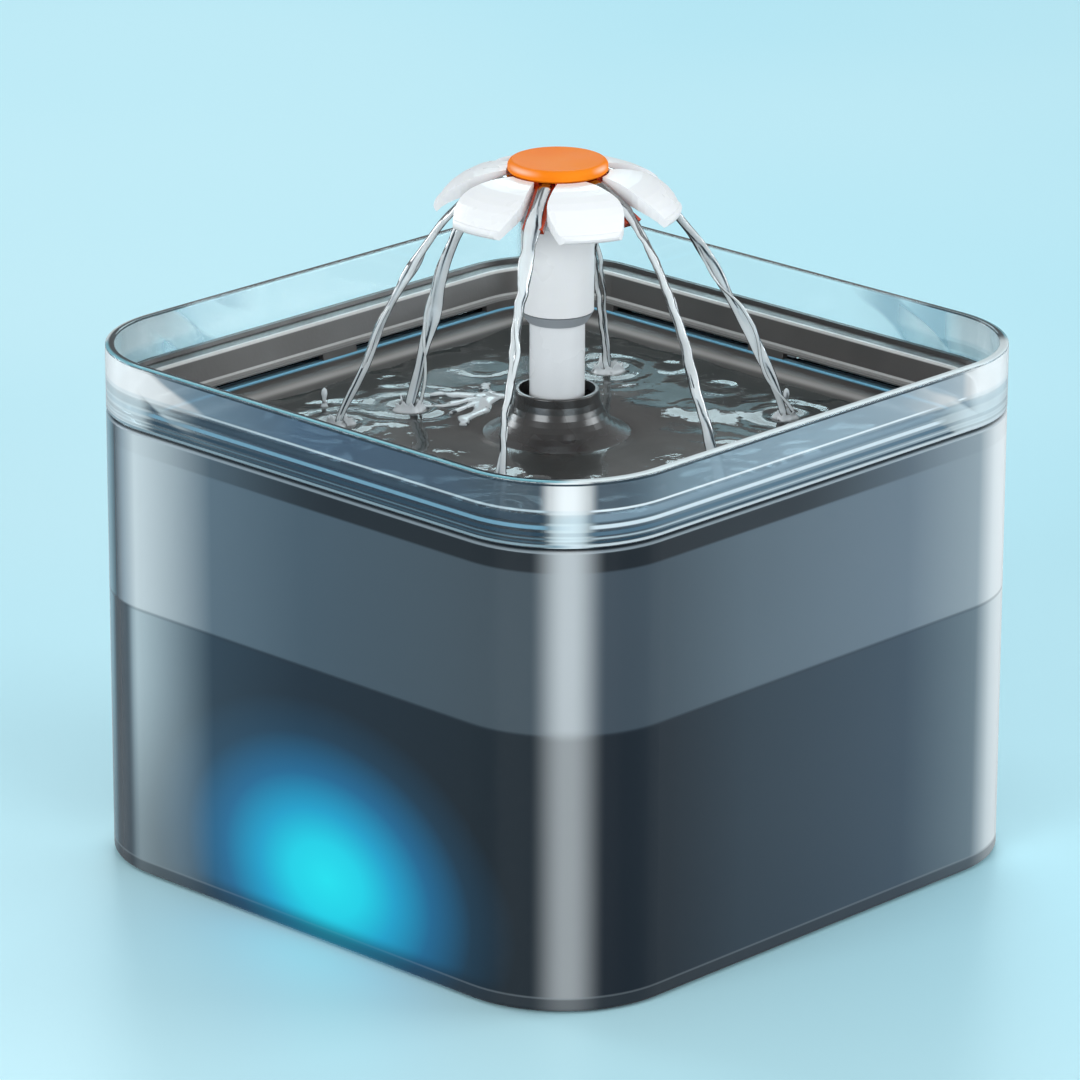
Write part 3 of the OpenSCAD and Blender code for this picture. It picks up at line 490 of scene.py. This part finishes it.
def grey_tray():
    look = Look("grey_tray", linear(66, 63, 61), 0.36, Coat_Roughness=0.22)
    x, y, z = look.place()
    depth = inset(look, x, y)
    clouds = look.step(look.noise(22, 3), 0.3, 0.7)
    body = look.mix(clouds, linear(61, 58, 57), linear(77, 74, 72))
    # Painted light on the moulded edges: painted shade on the rim's top and painted highlights along the
    # ledge, the slots and the dish's edge
    rim = look.times(look.band(depth, 2.6, 4.8, 0.15), look.step(z, TRAY_RIM_Z - 0.4, TRAY_RIM_Z), 0.75)
    ledge_highlight = look.times(look.band(depth, 7.3, 8.2, 0.25),
                       look.step(z, TRAY_LEDGE_Z - 0.2, TRAY_LEDGE_Z + 0.2), 0.85)
    slot_top_highlight = look.times(look.band(z, SLOT_EDGE_Z + 0.05, SLOT_EDGE_Z + 0.7, 0.12),
                          look.band(depth, 9.0, 12.0, 0.2), 0.7)
    slot_foot_highlight = look.times(look.band(z, SLOT_EDGE_Z - 0.5, SLOT_EDGE_Z - 0.05, 0.1),
                           look.band(depth, 9.0, 12.2, 0.2), 0.4)
    dish_edge_highlight = look.times(look.band(z, DISH_EDGE_Z, DISH_EDGE_Z + 0.35, 0.06),
                      look.band(depth, 10.5, 13.0, 0.2), 0.85)
    # A broad painted highlight on the dish's curve just above the water
    dish_highlight = look.times(look.band(z, TRAY_WATER_Z + 0.75, TRAY_WATER_Z + 1.4, 0.6),
                          look.band(depth, 11.0, 20.0, 1.0), 0.6)
    # A painted highlight on the rim's outer face, seen through the clear wall
    face = look.times(look.band(z, TRAY_RIM_Z - 1.2, TRAY_RIM_Z + 0.2, 0.25),
                      look.step(depth, 2.6, 3.0, 1.0, 0.0), 0.6)
    # The boss is wet, so it shines
    boss = look.times(look.step(look.length(x, y), 30.0, 36.0, 1.0, 0.0),
                      look.step(z, TRAY_WATER_Z - 1.5, TRAY_WATER_Z))
    look.into("Base Color", look.layered(body, [
        (rim, linear(24, 24, 25)), (ledge_highlight, linear(226, 226, 224)), (slot_top_highlight, linear(206, 206, 204)),
        (slot_foot_highlight, linear(170, 170, 168)), (dish_edge_highlight, linear(134, 200, 228)),
        (dish_highlight, linear(208, 204, 200)), (face, linear(168, 206, 222)),
        (look.times(boss, 0.6), linear(34, 33, 33))]))
    look.into("Coat Weight", boss)
    dry_rough = look.step(look.noise(70, 2), 0.3, 0.7, 0.32, 0.4)
    look.into("Roughness", look.calc("MULTIPLY_ADD", boss, -0.08, dry_rough))
    look.bump(look.noise(900, 2), 0.00003)
    return look


def orange_disc():
    look = Look("orange_plastic", linear(255, 134, 40), 0.45, Specular_IOR_Level=0.04)
    x, y, z = look.place()
    clouds = look.step(look.noise(38), 0.35, 0.65)
    body = look.mix(clouds, linear(255, 140, 30), linear(255, 131, 24))
    # The bevel shines to the left of the front and on the right
    turn = look.degrees(y, x)
    shine = look.most(look.band(turn, -112.0, -78.0, 16.0), look.band(turn, 4.0, 26.0, 10.0))
    bevel = look.times(shine, look.band(z, TOP_Z - 1.6, TOP_Z - 0.5, 0.5),
                       look.step(z, TOP_Z - 0.4, TOP_Z - 0.1, 1.0, 0.0), 0.55)
    look.into("Base Color", look.mix(bevel, body, linear(255, 226, 204)))
    look.rough_between(0.36, 0.5, 60)
    look.bump(look.noise(1400, 2), 0.00002)
    return look


def water(name, tint, bend=1.33, **sockets):
    look = Look(name, tint, 0.0, IOR=bend, Transmission_Weight=1.0, **sockets)
    look.rough_between(0.0, 0.03, 300)
    look.bump(look.noise(420, 2), 0.0001, 0.5)
    return look


def splashed_water():
    look = Look("splash_water", linear(232, 238, 242), 0.05, IOR=1.33, Transmission_Weight=0.25)
    foam = look.step(look.noise(300, 2), 0.3, 0.45)
    look.into("Base Color", look.mix(foam, linear(84, 86, 88), linear(246, 250, 252)))
    look.bump(look.noise(420, 2), 0.0001, 0.5)
    return look


def falling_water():
    """Streams: white along their middle, with painted dark outlines where they turn from view and dark
    streaks marked on the strands, both painted reflection.
    """
    look = Look("stream_water", WHITE, 0.03, IOR=1.33, Transmission_Weight=0.3)
    mark = look.tree.nodes.new("ShaderNodeAttribute")
    mark.attribute_name = "streak"
    facing = look.tree.nodes.new("ShaderNodeLayerWeight")
    facing.inputs["Blend"].default_value = 0.5
    dark = look.most(mark.outputs["Fac"], look.step(facing.outputs["Facing"], 0.3, 0.54))
    look.into("Base Color", look.ramp(dark, [
        (0.0, linear(250, 254, 255)), (0.35, linear(238, 246, 250)),
        (0.6, linear(84, 94, 102)), (0.9, linear(16, 19, 22))]))
    look.bump(look.noise(420, 2), 0.0001, 0.5)
    return look


def felt():
    look = Look("felt", linear(236, 235, 228), 0.95)
    look.into("Base Color", look.mix(look.noise(500, 4), linear(222, 221, 214), linear(246, 246, 242)))
    look.bump(look.noise(900, 5, 0.7), 0.0006)
    return look


def granules(name, dark, light, scale, rough):
    look = Look(name, dark, rough)
    cells = look.cells(scale)
    look.into("Base Color", look.mix(look.step(cells.outputs["Color"], 0.2, 0.8), dark, light))
    look.bump(look.step(cells.outputs["Distance"], 0.0, 0.6, 1.0, 0.0), 0.0009)
    return look


def open_foam():
    look = Look("open_foam", linear(44, 56, 74), 0.95)
    cells = look.cells(1100)
    walls = look.step(cells.outputs["Distance"], 0.1, 0.6)
    look.into("Base Color", look.mix(walls, linear(22, 28, 40), linear(62, 78, 100)))
    look.bump(cells.outputs["Distance"], 0.0008)
    return look


def laminated_steel():
    look = Look("laminated_steel", linear(150, 152, 156), 0.38, Metallic=1.0)
    sheets = look.wave(320, "Y")
    look.into("Base Color", look.mix(sheets, linear(118, 120, 124), linear(176, 178, 182)))
    look.bump(sheets, 0.0001)
    return look


def wound_copper():
    look = Look("wound_copper", linear(196, 108, 58), 0.3, Metallic=1.0)
    turns = look.wave(500, "Z", 0.4)
    look.into("Base Color", look.mix(turns, linear(120, 58, 28), linear(214, 126, 70)))
    look.bump(turns, 0.0002)
    return look


def circuit_board():
    look = Look("circuit_board", linear(18, 92, 52), 0.35)
    cells = look.cells(420, "DISTANCE_TO_EDGE", look.scaled(1, 0.2, 1))
    tracks = look.step(cells.outputs["Distance"], 0.03, 0.06, 1.0, 0.0)
    look.into("Base Color", look.mix(tracks, linear(12, 74, 42), linear(40, 128, 76)))
    look.bump(tracks, 0.00005)
    return look


def lit_lens():
    look = Look("lit_lens", linear(150, 235, 250), 0.15, Transmission_Weight=0.6, Emission_Strength=3.0)
    haze = look.step(look.noise(700, 2), 0.3, 0.7)
    look.into("Emission Color", look.mix(haze, linear(20, 190, 235), linear(90, 240, 255)))
    look.bump(look.noise(900, 1), 0.00003)
    return look


def hazy_clear(name, colour):
    look = Look(name, colour, 0.12, IOR=1.46, Transmission_Weight=0.85)
    clouds = look.step(look.noise(45), 0.3, 0.7)
    look.into("Base Color", look.mix(clouds, colour, toned(colour, 0.86)))
    look.rough_between(0.08, 0.2, 80)
    look.bump(look.noise(30, 1), 0.0001)
    return look


def soft_rubber(name, colour):
    look = Look(name, colour, 0.72, Sheen_Weight=0.15)
    dust = look.step(look.noise(120), 0.35, 0.7)
    look.into("Base Color", look.mix(dust, colour, toned(colour, 1.5, 0.004)))
    look.bump(look.noise(1600, 3), 0.00006)
    return look


white = moulded("white_plastic", linear(250, 251, 252), 0.3, tint=0.03, Subsurface_Weight=0.12,
                Subsurface_Radius=(0.004, 0.004, 0.005))
pipe_white = moulded("pipe_white", linear(244, 246, 248), 0.26, tint=0.03)
orange = orange_disc()
ramp_orange = moulded("orange_core", linear(214, 66, 22), 0.22, tint=0.25, Coat_Weight=0.6,
                      Coat_Roughness=0.03)
socket_grey = moulded("socket_grey", linear(176, 182, 188), 0.35, tint=0.08)
pump_black = moulded("pump_black", linear(40, 41, 44), 0.42, grain=0.00005, tint=0.2)
cartridge_white = moulded("cartridge_white", linear(232, 233, 232), 0.5)
impeller_cream = moulded("impeller_cream", linear(226, 222, 208), 0.4)
ceramic = moulded("ceramic", linear(238, 234, 226), 0.12, tint=0.02)
ferrite = moulded("ferrite", linear(52, 52, 56), 0.55, grain=0.00008, tint=0.3)
rubber_black = soft_rubber("rubber_black", linear(32, 33, 36))
foot_rubber = soft_rubber("foot_rubber", linear(60, 62, 66))
case_clear = hazy_clear("case_clear", linear(214, 226, 234))

LOOKS = {
    "tank": smoked_tank(), "feet": foot_rubber, "collar": clear_collar(), "tray": grey_tray(),
    "riser_pipe": pipe_white, "flower_socket": socket_grey, "flower": white,
    "flower_core": ramp_orange, "centre_cap": orange, "filter_case": case_clear,
    "filter_lid": case_clear, "cartridge_frame": cartridge_white, "cotton_bottom": felt(),
    "carbon_layer": granules("carbon_grains", linear(16, 16, 17), linear(48, 48, 50), 650, 0.5),
    "resin_layer": granules("resin_beads", linear(150, 92, 26), linear(222, 160, 74), 900, 0.25),
    "cotton_top": felt(), "motor_housing": pump_black, "motor_end_cover": pump_black,
    "stator_core": laminated_steel(), "stator_coil": wound_copper(),
    "driver_board": circuit_board(), "led": lit_lens(), "led_lens": lit_lens(),
    "cable_gland": rubber_black, "shaft": ceramic, "rear_bush": rubber_black,
    "front_bush": rubber_black, "rotor_magnet": ferrite, "impeller": impeller_cream,
    "cover_seal": rubber_black, "volute_cover": pump_black, "intake_cover": pump_black,
    "prefilter_sponge": open_foam(), "suction_cups": rubber_black,
}
for name, node in NODES.items():
    node.data.materials.clear()
    node.data.materials.append(LOOKS[name].mat)


# The streams: the angle of the flower's channel, where the stream lands in the tray, its width below the
# flower and the size of the crown of water round its foot
STREAMS = [
    (0, (58.9, -0.6), 2.0, 2.6),
    (60, (33.5, 51.5), 1.6, 2.6),
    (120, (-27.4, 48.2), 1.3, 3.4),
    (180, (-41.5, -12.6), 2.0, 3.4),
    (240, (-45.4, -34.5), 1.5, 2.8),
    (300, (32.6, -55.6), 1.9, 2.4)]

# Small round ripples on the tray's water: x, y and radius
RINGS = [(-18, 62, 5), (4, 58, 6), (22, 66, 5), (-52, 26, 6), (-62, 2, 5), (58, 30, 6), (62, 48, 5),
         (40, 22, 5), (52, -30, 6), (26, -34, 5), (-6, -58, 6), (-30, -58, 5), (-60, -56, 5),
         (12, 40, 5), (-44, 52, 5), (60, -52, 5), (-26, 30, 5), (48, 62, 5)]
RING_HEIGHT = 0.2
RING_WIDTH = 1.6

# Waves round each landing
WAVE_HEIGHT = 0.8
WAVE_LENGTH = 7
WAVE_FADE = 6.5

# Height, size and seed of the smooth humps all over the water
SWELLS = [(0.55, 17, 3.1), (0.12, 6, 7.7)]

# The water lies calmer near the boss
CALM_FROM = 20
CALM_TO = 34
CALM_LEAST = 0.3


def add_mesh(name, verts, faces, look, smooth=True):
    mesh = bpy.data.meshes.new(name)
    mesh.from_pydata([tuple(v) for v in verts], [], [tuple(f) for f in faces])
    mesh.validate()
    mesh.polygons.foreach_set("use_smooth", [smooth] * len(mesh.polygons))
    mesh.materials.append(look.mat)
    piece = bpy.data.objects.new(name, mesh)
    bpy.context.scene.collection.objects.link(piece)
    return piece


def swell(x, y, size, seed):
    """Smooth noise over the plan, from -1 to 1, with humps of about the given size."""
    return noise.noise(Vector((x / size, y / size, seed)))


def tray_ripples(x, y):
    """Height of the tray's water above its level."""
    h = 0.0
    for _, (land_x, land_y), _, _ in STREAMS:
        d = math.hypot(x - land_x, y - land_y)
        h += WAVE_HEIGHT * math.exp(-d / WAVE_FADE) * math.cos(d * 2 * math.pi / WAVE_LENGTH)
    for ring_x, ring_y, radius in RINGS:
        d = math.hypot(x - ring_x, y - ring_y)
        h += RING_HEIGHT * math.exp(-((d - radius) / RING_WIDTH) ** 2)
    for rise, size, seed in SWELLS:
        h += rise * swell(x, y, size, seed)
    calm = (math.hypot(x, y) - CALM_FROM) / (CALM_TO - CALM_FROM)
    return h * min(1.0, max(CALM_LEAST, calm))


def tank_ripples(x, y):
    """Height of the tank's water above its level."""
    return 0.25 * swell(x, y, 22, 1.3)


def plan_inside(x, y, half, r):
    """How far a point lies inside a rounded square, in millimetres; negative outside."""
    u, v = abs(x) - (half - r), abs(y) - (half - r)
    if u > 0 and v > 0:
        return r - math.hypot(u, v)
    return r - max(u, v)


def sheet_of_water(name, look, half, r, level, hole_r, step, height):
    """A rounded square sheet with a round hole, its border points set on the wall and the hole."""
    count = int(round(2 * half / step))
    spare = step * 0.8
    verts, index, faces = [], {}, []
    for i in range(count + 1):
        for j in range(count + 1):
            x, y = -half + 2 * half * i / count, -half + 2 * half * j / count
            inside = plan_inside(x, y, half, r)
            d = math.hypot(x, y)
            if inside < -spare or d < hole_r - spare:
                continue
            if inside < 0:
                cx = math.copysign(half - r, x)
                cy = math.copysign(half - r, y)
                away = math.hypot(x - cx, y - cy)
                x, y = cx + (x - cx) * r / away, cy + (y - cy) * r / away
            if d < hole_r:
                x, y = x * hole_r / d, y * hole_r / d
            index[i, j] = len(verts)
            verts.append((x * MM, y * MM, (level + height(x, y)) * MM))
    for i in range(count):
        for j in range(count):
            quad = [index.get(k) for k in ((i, j), (i + 1, j), (i + 1, j + 1), (i, j + 1))]
            have = [q for q in quad if q is not None]
            if len(have) >= 3:
                faces.append(have)
    return add_mesh(name, verts, faces, look)


# Water in the tray and in the tank, each as one sheet of ripples round the boss or the pipe
tray_look = water("tray_water", (0.84, 0.72, 0.68, 1), 1.3, Specular_Tint=(1.0, 0.76, 0.7, 1))
pool = sheet_of_water("tray_water", tray_look, half=73.2, r=13.8, level=TRAY_WATER_Z, hole_r=17.6,
                      step=1.15, height=tray_ripples)
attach(pool, "tray")

tank_look = water("tank_water", (0.75, 0.9, 0.95, 1))
tank_pool = sheet_of_water("tank_water", tank_look, half=HALF - TANK_WATER_INSET,
                           r=CORNER_R - TANK_WATER_INSET, level=TANK_WATER_Z, hole_r=7.6, step=3.0,
                           height=tank_ripples)
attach(tank_pool, "tank")

# The streams leave the flower's channels over a lip of this radius, level and downward slope
LIP_R = 24
LIP_Z = 180
LIP_SLOPE = 0.9
# How far under the tray's water they end, and their steps from the lip to there
LANDING_DEPTH = 0.3
FALL_STEPS = 64
# Radius and level of the water along a channel
CHANNEL = ((12.9, 184.7), (14.5, 184.2), (17.0, 183.2), (20.0, 181.9), (22.0, 181.0))


def stream_path(angle, land):
    """Out along the channel, then down a parabola that is fitted to end at its landing."""
    a = math.radians(angle)
    lip = Vector((LIP_R * math.cos(a), LIP_R * math.sin(a)))
    end = Vector(land)
    run = (end - lip).length
    fall = (TRAY_WATER_Z - LANDING_DEPTH - LIP_Z + LIP_SLOPE * run) / run ** 2
    path = [Vector((r * math.cos(a), r * math.sin(a), z)) for r, z in CHANNEL]
    for i in range(FALL_STEPS + 1):
        s = run * i / FALL_STEPS
        p = lip + (end - lip) * (i / FALL_STEPS)
        path.append(Vector((p.x, p.y, LIP_Z - LIP_SLOPE * s + fall * s * s)))
    return path


def add_rings(verts, faces, rings):
    """Joins rings of points, all of one count, into a closed tube."""
    first, sides = len(verts), len(rings[0])
    for ring in rings:
        verts.extend(p * MM for p in ring)
    for j in range(len(rings) - 1):
        for k in range(sides):
            k2 = (k + 1) % sides
            a, b = first + j * sides, first + (j + 1) * sides
            faces.append((a + k, a + k2, b + k2, b + k))
    last = first + (len(rings) - 1) * sides
    faces.append(tuple(first + k for k in reversed(range(sides))))
    faces.append(tuple(last + k for k in range(sides)))


def waver(t, pace, seed, track):
    """Smooth noise along a strand, from -1 to 1."""
    return noise.noise(Vector((t * pace, seed, track)))


def strand(verts, faces, marks, path, widths, depths, turns, phase, wander, seed, sides=16):
    """Adds one wavy strand of water, its oval section turning as it falls, and marks its dark streaks."""
    rings = []
    last = len(path) - 1
    for i, p in enumerate(path):
        t = i / last
        along = (path[min(i + 1, last)] - path[max(i - 1, 0)]).normalized()
        side = along.cross(Vector((0, 0, 1)))
        side = side.normalized() if side.length > 1e-6 else Vector((1, 0, 0))
        out = side.cross(along).normalized()
        twist = phase + turns * 2 * math.pi * t
        axis_a = side * math.cos(twist) + out * math.sin(twist)
        axis_b = -side * math.sin(twist) + out * math.cos(twist)
        lump = 1 + 0.4 * waver(t, 9, seed, 0.5)
        drift = side * (wander * t * waver(t, 5, seed, 4.4))
        drift += out * (wander * t * waver(t, 6, seed, 8.8))
        drift += side * (0.45 * min(1.0, t * 4) * waver(t, 24, seed, 5.2))
        width = np.interp(t, *widths) * lump
        depth = np.interp(t, *depths) * (2 - lump)
        # A streak runs where the section's turn meets a slow wave, and comes and goes as it falls
        streak_at = 1.6 * waver(t, 2.6, seed, 6.1)
        streak_share = min(1.0, max(0.0, (waver(t, 5, seed, 2.3) + 0.3) * 4))
        ring = []
        for k in range(sides):
            c = 2 * math.pi * k / sides
            ring.append(p + drift + axis_a * (width * math.cos(c)) + axis_b * (depth * math.sin(c)))
            marks.append(max(0.0, 1 - abs(math.cos(c) - streak_at) * 3) * streak_share)
        rings.append(ring)
    add_rings(verts, faces, rings)


def mark_streaks(piece, values):
    """Stores how dark each point of a piece of falling water is."""
    layer = piece.data.attributes.new("streak", "FLOAT", "POINT")
    layer.data.foreach_set("value", np.array(values, np.float32))


stream_look = falling_water()
for number, (angle, land, wide, _) in enumerate(STREAMS, 1):
    path = stream_path(angle, land)
    verts, faces, marks = [], [], []
    widths = ([0, 0.12, 0.3, 1], [2.0, 2.1, wide, wide * 0.75])
    depths = ([0, 0.12, 0.3, 1], [0.7, 0.9, wide * 0.5, wide * 0.55])
    strand(verts, faces, marks, path, widths, depths, turns=0.35, phase=0.0, wander=1.6, seed=number)
    # A thin strand leaves the channel further out and wanders beside the main one
    thin_widths = ([0, 0.2, 1], [0.6, 0.7, 0.55])
    thin_depths = ([0, 0.2, 1], [0.5, 0.5, 0.4])
    strand(verts, faces, marks, path[3:], thin_widths, thin_depths, turns=1.5, phase=1.0, wander=4.2,
           seed=number + 10.5, sides=8)
    piece = add_mesh(f"stream_{number}", verts, faces, stream_look)
    mark_streaks(piece, marks)
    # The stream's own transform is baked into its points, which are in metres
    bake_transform(piece)


# Splashes where the streams land. The profiles give radius and height as shares of the splash's size
CROWN_PROFILE = ((1.5, -0.6), (1.15, 0.0), (0.95, 0.5), (1.0, 0.8), (0.88, 0.75), (0.7, 0.2), (0.4, -0.3))
CROWN_POINTS = 28
BEAD_PROFILE = ((0.7, -0.5), (0.42, 0.2), (0.26, 0.9), (0.34, 1.3), (0.44, 1.8), (0.36, 2.3), (0.1, 2.6))
BEAD_POINTS = 12
BEADS = ((-58.5, -27.5), (28.5, 57.5), (54.0, 6.0))
BEAD_SIZE = 1.9

# The thick white splash to the left of the pipe: its middle, then where each arm ends and how wide it is
STAR = (-33.0, 8.5)
ARMS = [((-45.5, -1.0), 1.5), ((-31.5, -9.0), 1.3), ((-42.0, 16.5), 1.2), ((-20.0, -13.5), 1.7),
        ((-24.0, 17.0), 1.1), ((-38.0, -13.0), 0.9)]
ARM_STEPS = 12
ARM_POINTS = 10


def circle_angles(count):
    """The angles of evenly spaced points round a circle."""
    return [2 * math.pi * k / count for k in range(count)]


def ragged(c, pace, seed):
    """Smooth noise round a circle, from -1 to 1, the same again after a full turn."""
    return noise.noise(Vector((math.cos(c) * pace, math.sin(c) * pace, seed)))


def crown(verts, faces, x, y, size, seed):
    """A low ring of water with a ragged lip."""
    rings = []
    for r, z in CROWN_PROFILE:
        ring = []
        for c in circle_angles(CROWN_POINTS):
            rag = 1 + 0.45 * ragged(c, 1.7, seed)
            spike = 0.3 + 1.3 * abs(ragged(c, 2.6, seed + 5))
            rise = z * spike if z > 0 else z
            ring.append(Vector((x + size * r * rag * math.cos(c), y + size * r * rag * math.sin(c),
                                TRAY_WATER_Z + rise * size)))
        rings.append(ring)
    add_rings(verts, faces, rings)


def bead(verts, faces, x, y, size):
    """A bead of water that jumps up where a stream lands."""
    rings = []
    for r, z in BEAD_PROFILE:
        rings.append([Vector((x + size * r * math.cos(c), y + size * r * math.sin(c),
                              TRAY_WATER_Z + z * size)) for c in circle_angles(BEAD_POINTS)])
    add_rings(verts, faces, rings)


def splash_arm(verts, faces, start, end, width, seed):
    """A flat arm of spray that lies on the water and thins towards its end."""
    rings = []
    run = Vector(end) - Vector(start)
    side = Vector((-run.y, run.x)).normalized()
    for i in range(ARM_STEPS + 1):
        t = i / ARM_STEPS
        p = Vector(start) + run * t + side * (4.5 * waver(t, 3.2, seed, 1.0) * t)
        w = width * 2.0 * (1 - 0.7 * t) * (1 + 0.9 * waver(t, 6, seed, 3.0))
        h = 0.25 + 0.14 * w
        rings.append([Vector((p.x + side.x * w * math.cos(c), p.y + side.y * w * math.cos(c),
                              TRAY_WATER_Z + 0.1 + h * math.sin(c))) for c in circle_angles(ARM_POINTS)])
    add_rings(verts, faces, rings)


splash_look = splashed_water()
verts, faces = [], []
for number, (_, (land_x, land_y), _, size) in enumerate(STREAMS):
    crown(verts, faces, land_x, land_y, size, number * 3.3)
for bead_x, bead_y in BEADS:
    bead(verts, faces, bead_x, bead_y, BEAD_SIZE)
crowns = add_mesh("splash_crowns", verts, faces, splash_look)
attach(crowns, "tray")

verts, faces = [], []
for number, (end, width) in enumerate(ARMS):
    splash_arm(verts, faces, STAR, end, width, number * 1.7)
star = add_mesh("splash_star", verts, faces, splash_look)
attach(star, "tray")


# Floor, light and air, in metres
FLOOR_HALF = 5.0
LAMP_TARGET = (0, 0, 0.09)
SOFT_WHITE = (0.94, 1.0, 1.03)
SKY_BLUE = (0.74, 1.0, 1.08)

# Name, place, width and height, power and colour
LAMPS = [
    ("key", (0.1, -1.7, 0.62), (1.0, 0.8), 14.5, SOFT_WHITE),
    ("fill", (1.7, -0.4, 0.58), (0.9, 0.8), 9.5, SOFT_WHITE),
    ("right", (1.1, 1.2, 0.6), (0.9, 0.8), 11, SOFT_WHITE),
    ("top", (0.2, 0.2, 1.9), (1.0, 0.8), 3.6, SOFT_WHITE),
    ("left", (-1.5, -0.3, 0.6), (0.5, 0.8), 6, SOFT_WHITE),
    ("back", (-1.04, 1.08, 1.0), (0.7, 0.5), 5, SKY_BLUE)]

AIR_TONE = (0.97, 0.985, 1.0, 1)
AIR_LIGHT = 0.4


def pale_floor():
    """Pale blue where it is looked at, and a neutral grey for the light that it throws back."""
    look = Look("pale_floor", linear(186, 232, 246), 0.35, Specular_IOR_Level=0.3)
    clouds = look.step(look.noise(1.6, 2), 0.3, 0.7)
    blue = look.mix(clouds, linear(190, 240, 252), linear(204, 245, 254))
    path = look.tree.nodes.new("ShaderNodeLightPath")
    seen = look.most(path.outputs["Is Camera Ray"], path.outputs["Is Transmission Ray"])
    look.into("Base Color", look.mix(seen, linear(196, 204, 208), blue))
    return look


def make_stage():
    corners = [(x * FLOOR_HALF, y * FLOOR_HALF, 0) for x, y in ((-1, -1), (1, -1), (1, 1), (-1, 1))]
    floor = add_mesh("floor", corners, [(0, 1, 2, 3)], pale_floor(), smooth=False)


def soft_light(name, at, size, power, colour):
    data = bpy.data.lights.new(name, "AREA")
    data.shape = "RECTANGLE"
    data.size, data.size_y = size
    data.energy = power
    data.color = colour
    lamp = bpy.data.objects.new(name, data)
    lamp.location = at
    lamp.rotation_euler = (Vector(LAMP_TARGET) - Vector(at)).to_track_quat("-Z", "Y").to_euler()
    bpy.context.scene.collection.objects.link(lamp)


def make_air():
    """Even light from all round, and a pale blue where the air itself is looked at."""
    world = bpy.data.worlds.new("air")
    bpy.context.scene.world = world
    world.use_nodes = True
    tree = world.node_tree
    back = tree.nodes["Background"]
    back.inputs[0].default_value = AIR_TONE
    back.inputs[1].default_value = AIR_LIGHT
    bright = tree.nodes.new("ShaderNodeBackground")
    bright.inputs[0].default_value = linear(188, 236, 249)
    bright.inputs[1].default_value = 1.0
    path = tree.nodes.new("ShaderNodeLightPath")
    seen = tree.nodes.new("ShaderNodeMath")
    seen.operation = "MAXIMUM"
    tree.links.new(path.outputs["Is Camera Ray"], seen.inputs[0])
    tree.links.new(path.outputs["Is Transmission Ray"], seen.inputs[1])
    mixed = tree.nodes.new("ShaderNodeMixShader")
    tree.links.new(seen.outputs[0], mixed.inputs[0])
    tree.links.new(back.outputs[0], mixed.inputs[1])
    tree.links.new(bright.outputs[0], mixed.inputs[2])
    tree.links.new(mixed.outputs[0], tree.nodes["World Output"].inputs[0])


make_stage()
for lamp in LAMPS:
    soft_light(*lamp)
make_air()
bpy.context.scene.view_settings.view_transform = "Standard"
